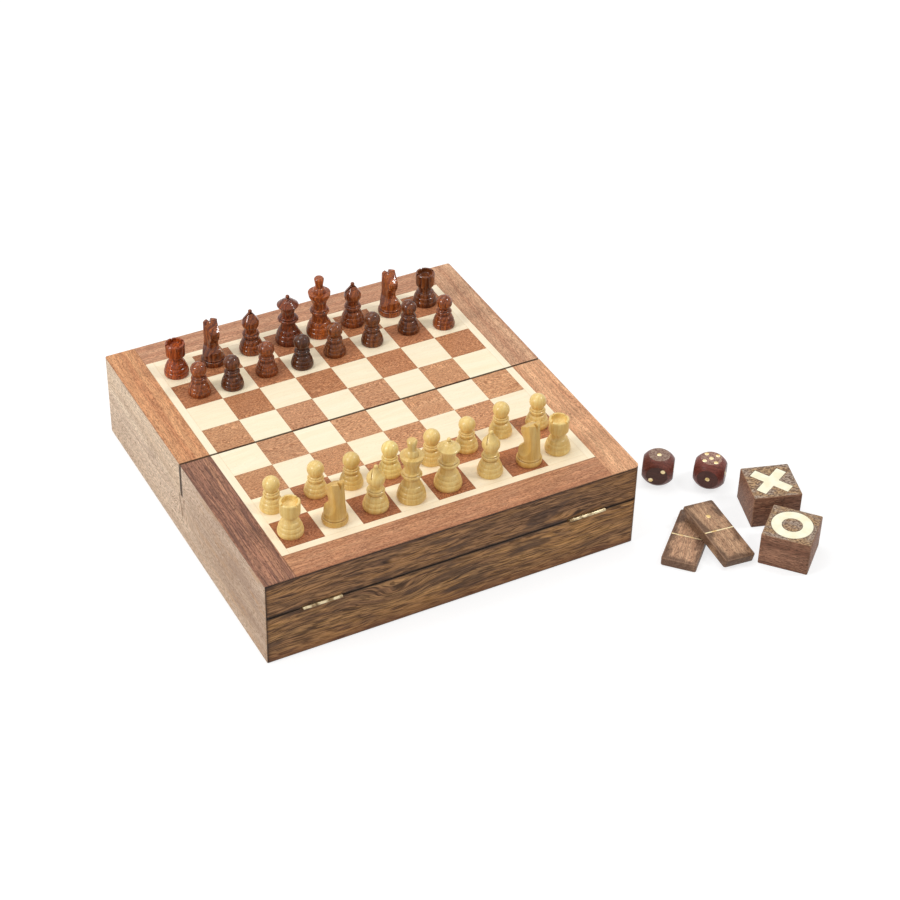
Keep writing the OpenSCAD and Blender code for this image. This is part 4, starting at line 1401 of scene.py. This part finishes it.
def thinned(outline, slack):
    """An outline without the points that its neighbours make needless."""
    (x0, y0), (x1, y1) = outline[0], outline[-1]
    length = math.hypot(x1 - x0, y1 - y0)
    off = [abs((x1 - x0) * (y0 - y) - (x0 - x) * (y1 - y0)) / length for x, y in outline]
    far = off.index(max(off))
    if off[far] < slack:
        return [outline[0], outline[-1]]
    return thinned(outline[: far + 1], slack)[:-1] + thinned(outline[far:], slack)


def turned_man(height, forms):
    """A turned solid, at each height as wide as the widest of its forms. Sanding rounds its edges a little,
    so each radius is evened with its neighbours. It keeps more points in its grooves, which are darkened:
    partly finish gathered there, partly painted shade."""
    pitch = 0.12 * mm
    heights = [0.01 * mm] + [pitch * step for step in range(1, int(height / pitch))]
    heights += [height - 0.02 * mm, height - 0.003 * mm]
    radii = [max(0.05 * mm, widest(forms, z)) for z in heights]
    even = radii[:1] + [sum(radii[i - 1:i + 2]) / 3 for i in range(1, len(radii) - 2)] + radii[-2:]
    outline = list(zip(even, heights))
    kept = set(thinned(outline, 0.012 * mm))
    return lathe([point for point in outline if point in kept or groove(forms, point[1]) > 0.05])


def turned_whole(forms, h, r):
    """Most men need nothing but the lathe."""
    return turned_man(h, forms)


def rook_cut(forms, h, r):
    """The top is hollowed, and sawn across twice for the battlements."""
    hollow = [(0.3 * r, h - 0.42 * r), (0.52 * r, h - 0.36 * r), (0.59 * r, h - 0.25 * r), (0.6 * r, 1.1 * h)]
    slot = bar((-r, -0.08 * r, h - 0.12 * r), (r, 0.08 * r, 1.1 * h))
    return cut(turned_man(h, forms), [lathe(hollow), slot, moved(slot, at(0, 0, 0, 90))])


def bishop_cut(forms, h, r):
    """One steep saw cut in front of the mitre's tip."""
    saw = moved(bar((-r, 0, 0), (r, r, 0.07 * r)), tilt("X", 62))
    return cut(turned_man(h, forms), [moved(saw, at(0, -0.17 * r, 0.68 * h + 0.23 * r))])


def knight_cut(forms, h, r):
    """The knight's blank is turned, then shaped from the side, cut flat on both cheeks and notched."""
    blank = turned_man(h, [taper(0.85 * r, 0.08 * h, 0.67 * r, h)])
    profile = [(-0.95, 0.05), (-0.95, 1.1), (-0.53, 1.1), (-0.22, 0.965), (0.6, 0.825), (0.68, 0.785)]
    profile += [(0.66, 0.685), (0.5, 0.65), (0.95, 0.24), (0.95, 0.05)]
    outline = moved(prism([(y * r, z * h) for y, z in profile], -r, r), sideways)
    blank = cut(blank, [outline], "INTERSECT")
    throat = moved(prism(circle(0.62 * r, 48, (0.92 * r, 0.5 * h)), -r, r), sideways)
    mouth = moved(bar((-r, 0, 0), (r, r, 0.016 * h)), at(0, 0.38 * r, 0.715 * h) @ tilt("X", -8))
    cutter_r, cutter_z, cheek, toe_in, lean_out = 0.34 * h, 0.5 * h, 0.37 * r, 8, 5
    hollow = arc((cheek + cutter_r, cutter_z), cutter_r, 180 - lean_out, 360, 40)
    hollow += [(cheek + 2 * cutter_r, 1.6 * h), (cheek + 1.1 * h * math.tan(math.radians(lean_out)), 1.6 * h)]
    forward = Matrix(((1, 0, 0, 0), (0, 0, -1, 0), (0, 1, 0, 0), (0, 0, 0, 1)))
    side = moved(prism(hollow, -2 * r, 2 * r), at(0, 0, 0, toe_in) @ forward)
    other_side = moved(side, Matrix.Scale(-1, 4, (1, 0, 0)))
    notch = prism([(0, 0), (0.3 * r, 0.2 * h), (-0.3 * r, 0.2 * h)], -2 * r, 2 * r)
    notch = moved(notch, at(0, -0.7 * r, 0.85 * h) @ tilt("X", 90 + 38))
    neck = eased(cut(blank, [throat, mouth, side, other_side, notch]), 0.3 * mm, 2)
    return cut(turned_man(0.614 * r, forms), [neck], "UNION")


kinds = {
    "king": (king_forms, turned_whole, 43 * mm, 18.3 * mm),
    "queen": (queen_forms, turned_whole, 35.5 * mm, 17.7 * mm),
    "bishop": (bishop_forms, bishop_cut, 31.5 * mm, 16.3 * mm),
    "knight": (knight_forms, knight_cut, 30 * mm, 16.5 * mm),
    "rook": (rook_forms, rook_cut, 23.5 * mm, 16.4 * mm),
    "pawn": (pawn_forms, turned_whole, 23 * mm, 15 * mm),
}
men = {}
for kind, (forms_of, shaping, height, width) in kinds.items():
    forms = forms_of(height, width / 2)
    solid = shaping(forms, height, width / 2)
    stain_and_shade_by_height = {z: max(0.0, groove(forms, z)) for z in {p[2] for p in solid[0]}}
    men[kind] = solid, [stain_and_shade_by_height[p[2]] for p in solid[0]]

boxwood = wood(
    "boxwood", light=(244, 216, 142), middle=(234, 198, 118), dark=(206, 162, 84), pore=(186, 144, 76),
    band=3, wander=0.3, length=40, pores=(1.5, 0.25), pore_share=0.3, pore_depth=0.2, streaks=0.2,
    fibres=0.03, roughness=0.36, shine=0.4, coat=0.3, coat_roughness=0.12, relief=0.05,
)
lacquered = wood(
    "lacquered_sheesham", light=(192, 104, 46), middle=(130, 60, 28), dark=(58, 26, 14), pore=(38, 20, 14),
    band=2.2, wander=0.35, length=30, pores=(2.5, 0.3), pore_share=0.5, pore_depth=0.5, streaks=0.65,
    roughness=0.35, shine=0.1, coat=0.6, coat_roughness=0.04, relief=0.05,
)
stick_tints = {
    "light_knight_b": (0.82, 0.72, 0.56),
    "light_knight_g": (0.84, 0.75, 0.6),
    "light_king": (0.88, 0.84, 0.78),
    "light_pawn_c": (0.9, 0.88, 0.82),
    "light_pawn_d": (1.06, 1.14, 1.14),
    "dark_rook_a": (1.3, 1.0, 0.8),
    "dark_king": (1.35, 1.3, 1.2),
    "dark_queen": (0.7, 0.62, 0.8),
    "dark_rook_h": (0.7, 0.76, 0.8),
    "dark_pawn_d": (0.35, 0.42, 0.6),
    "dark_pawn_b": (0.5, 0.56, 0.7),
    "dark_pawn_e": (0.85, 0.95, 0.9),
    "dark_pawn_f": (0.6, 0.7, 0.8),
    "dark_pawn_g": (0.6, 0.65, 0.75),
    "dark_knight_b": (0.9, 0.9, 0.9),
    "dark_knight_g": (1.4, 1.4, 1.2),
}
# Each side's turn, the tint of its grooves (partly finish gathered there, partly painted shade), its slot and
# its wood.
two_sides = {
    "light": (15, (0.62, 0.5, 0.36), "boxwood", boxwood),
    "dark": (180, (0.28, 0.24, 0.24), "dark_man_wood", lacquered),
}
for body in frame["record"]["behaviour"]["bodies"]:
    colour, _, rest = body.partition("_")
    kind = rest.split("_")[0]
    if colour not in two_sides or kind not in men:
        continue
    solid, groove_stain_and_shade = men[kind]
    turn, deepest, slot, material = two_sides[colour]
    low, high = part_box(body)
    spot = at((low.x + high.x) / 2, (low.y + high.y) / 2, low.z, turn)
    part = wood_part(moved(solid, spot), grain=(0, 0, 1), up=(1, 0, 0))
    tint = stick_tints.get(body, (1, 1, 1))
    # The grooves are darkened: partly finish gathered there, partly painted shade.
    part["tint"] = [[t * (1 - share * (1 - g)) for t, g in zip(tint, deepest)] for share in groove_stain_and_shade]
    build(f"{body}_man", body, material, [part], [body])


# ---------------------------------------------------------------- End of the script

bpy.context.view_layer.update()
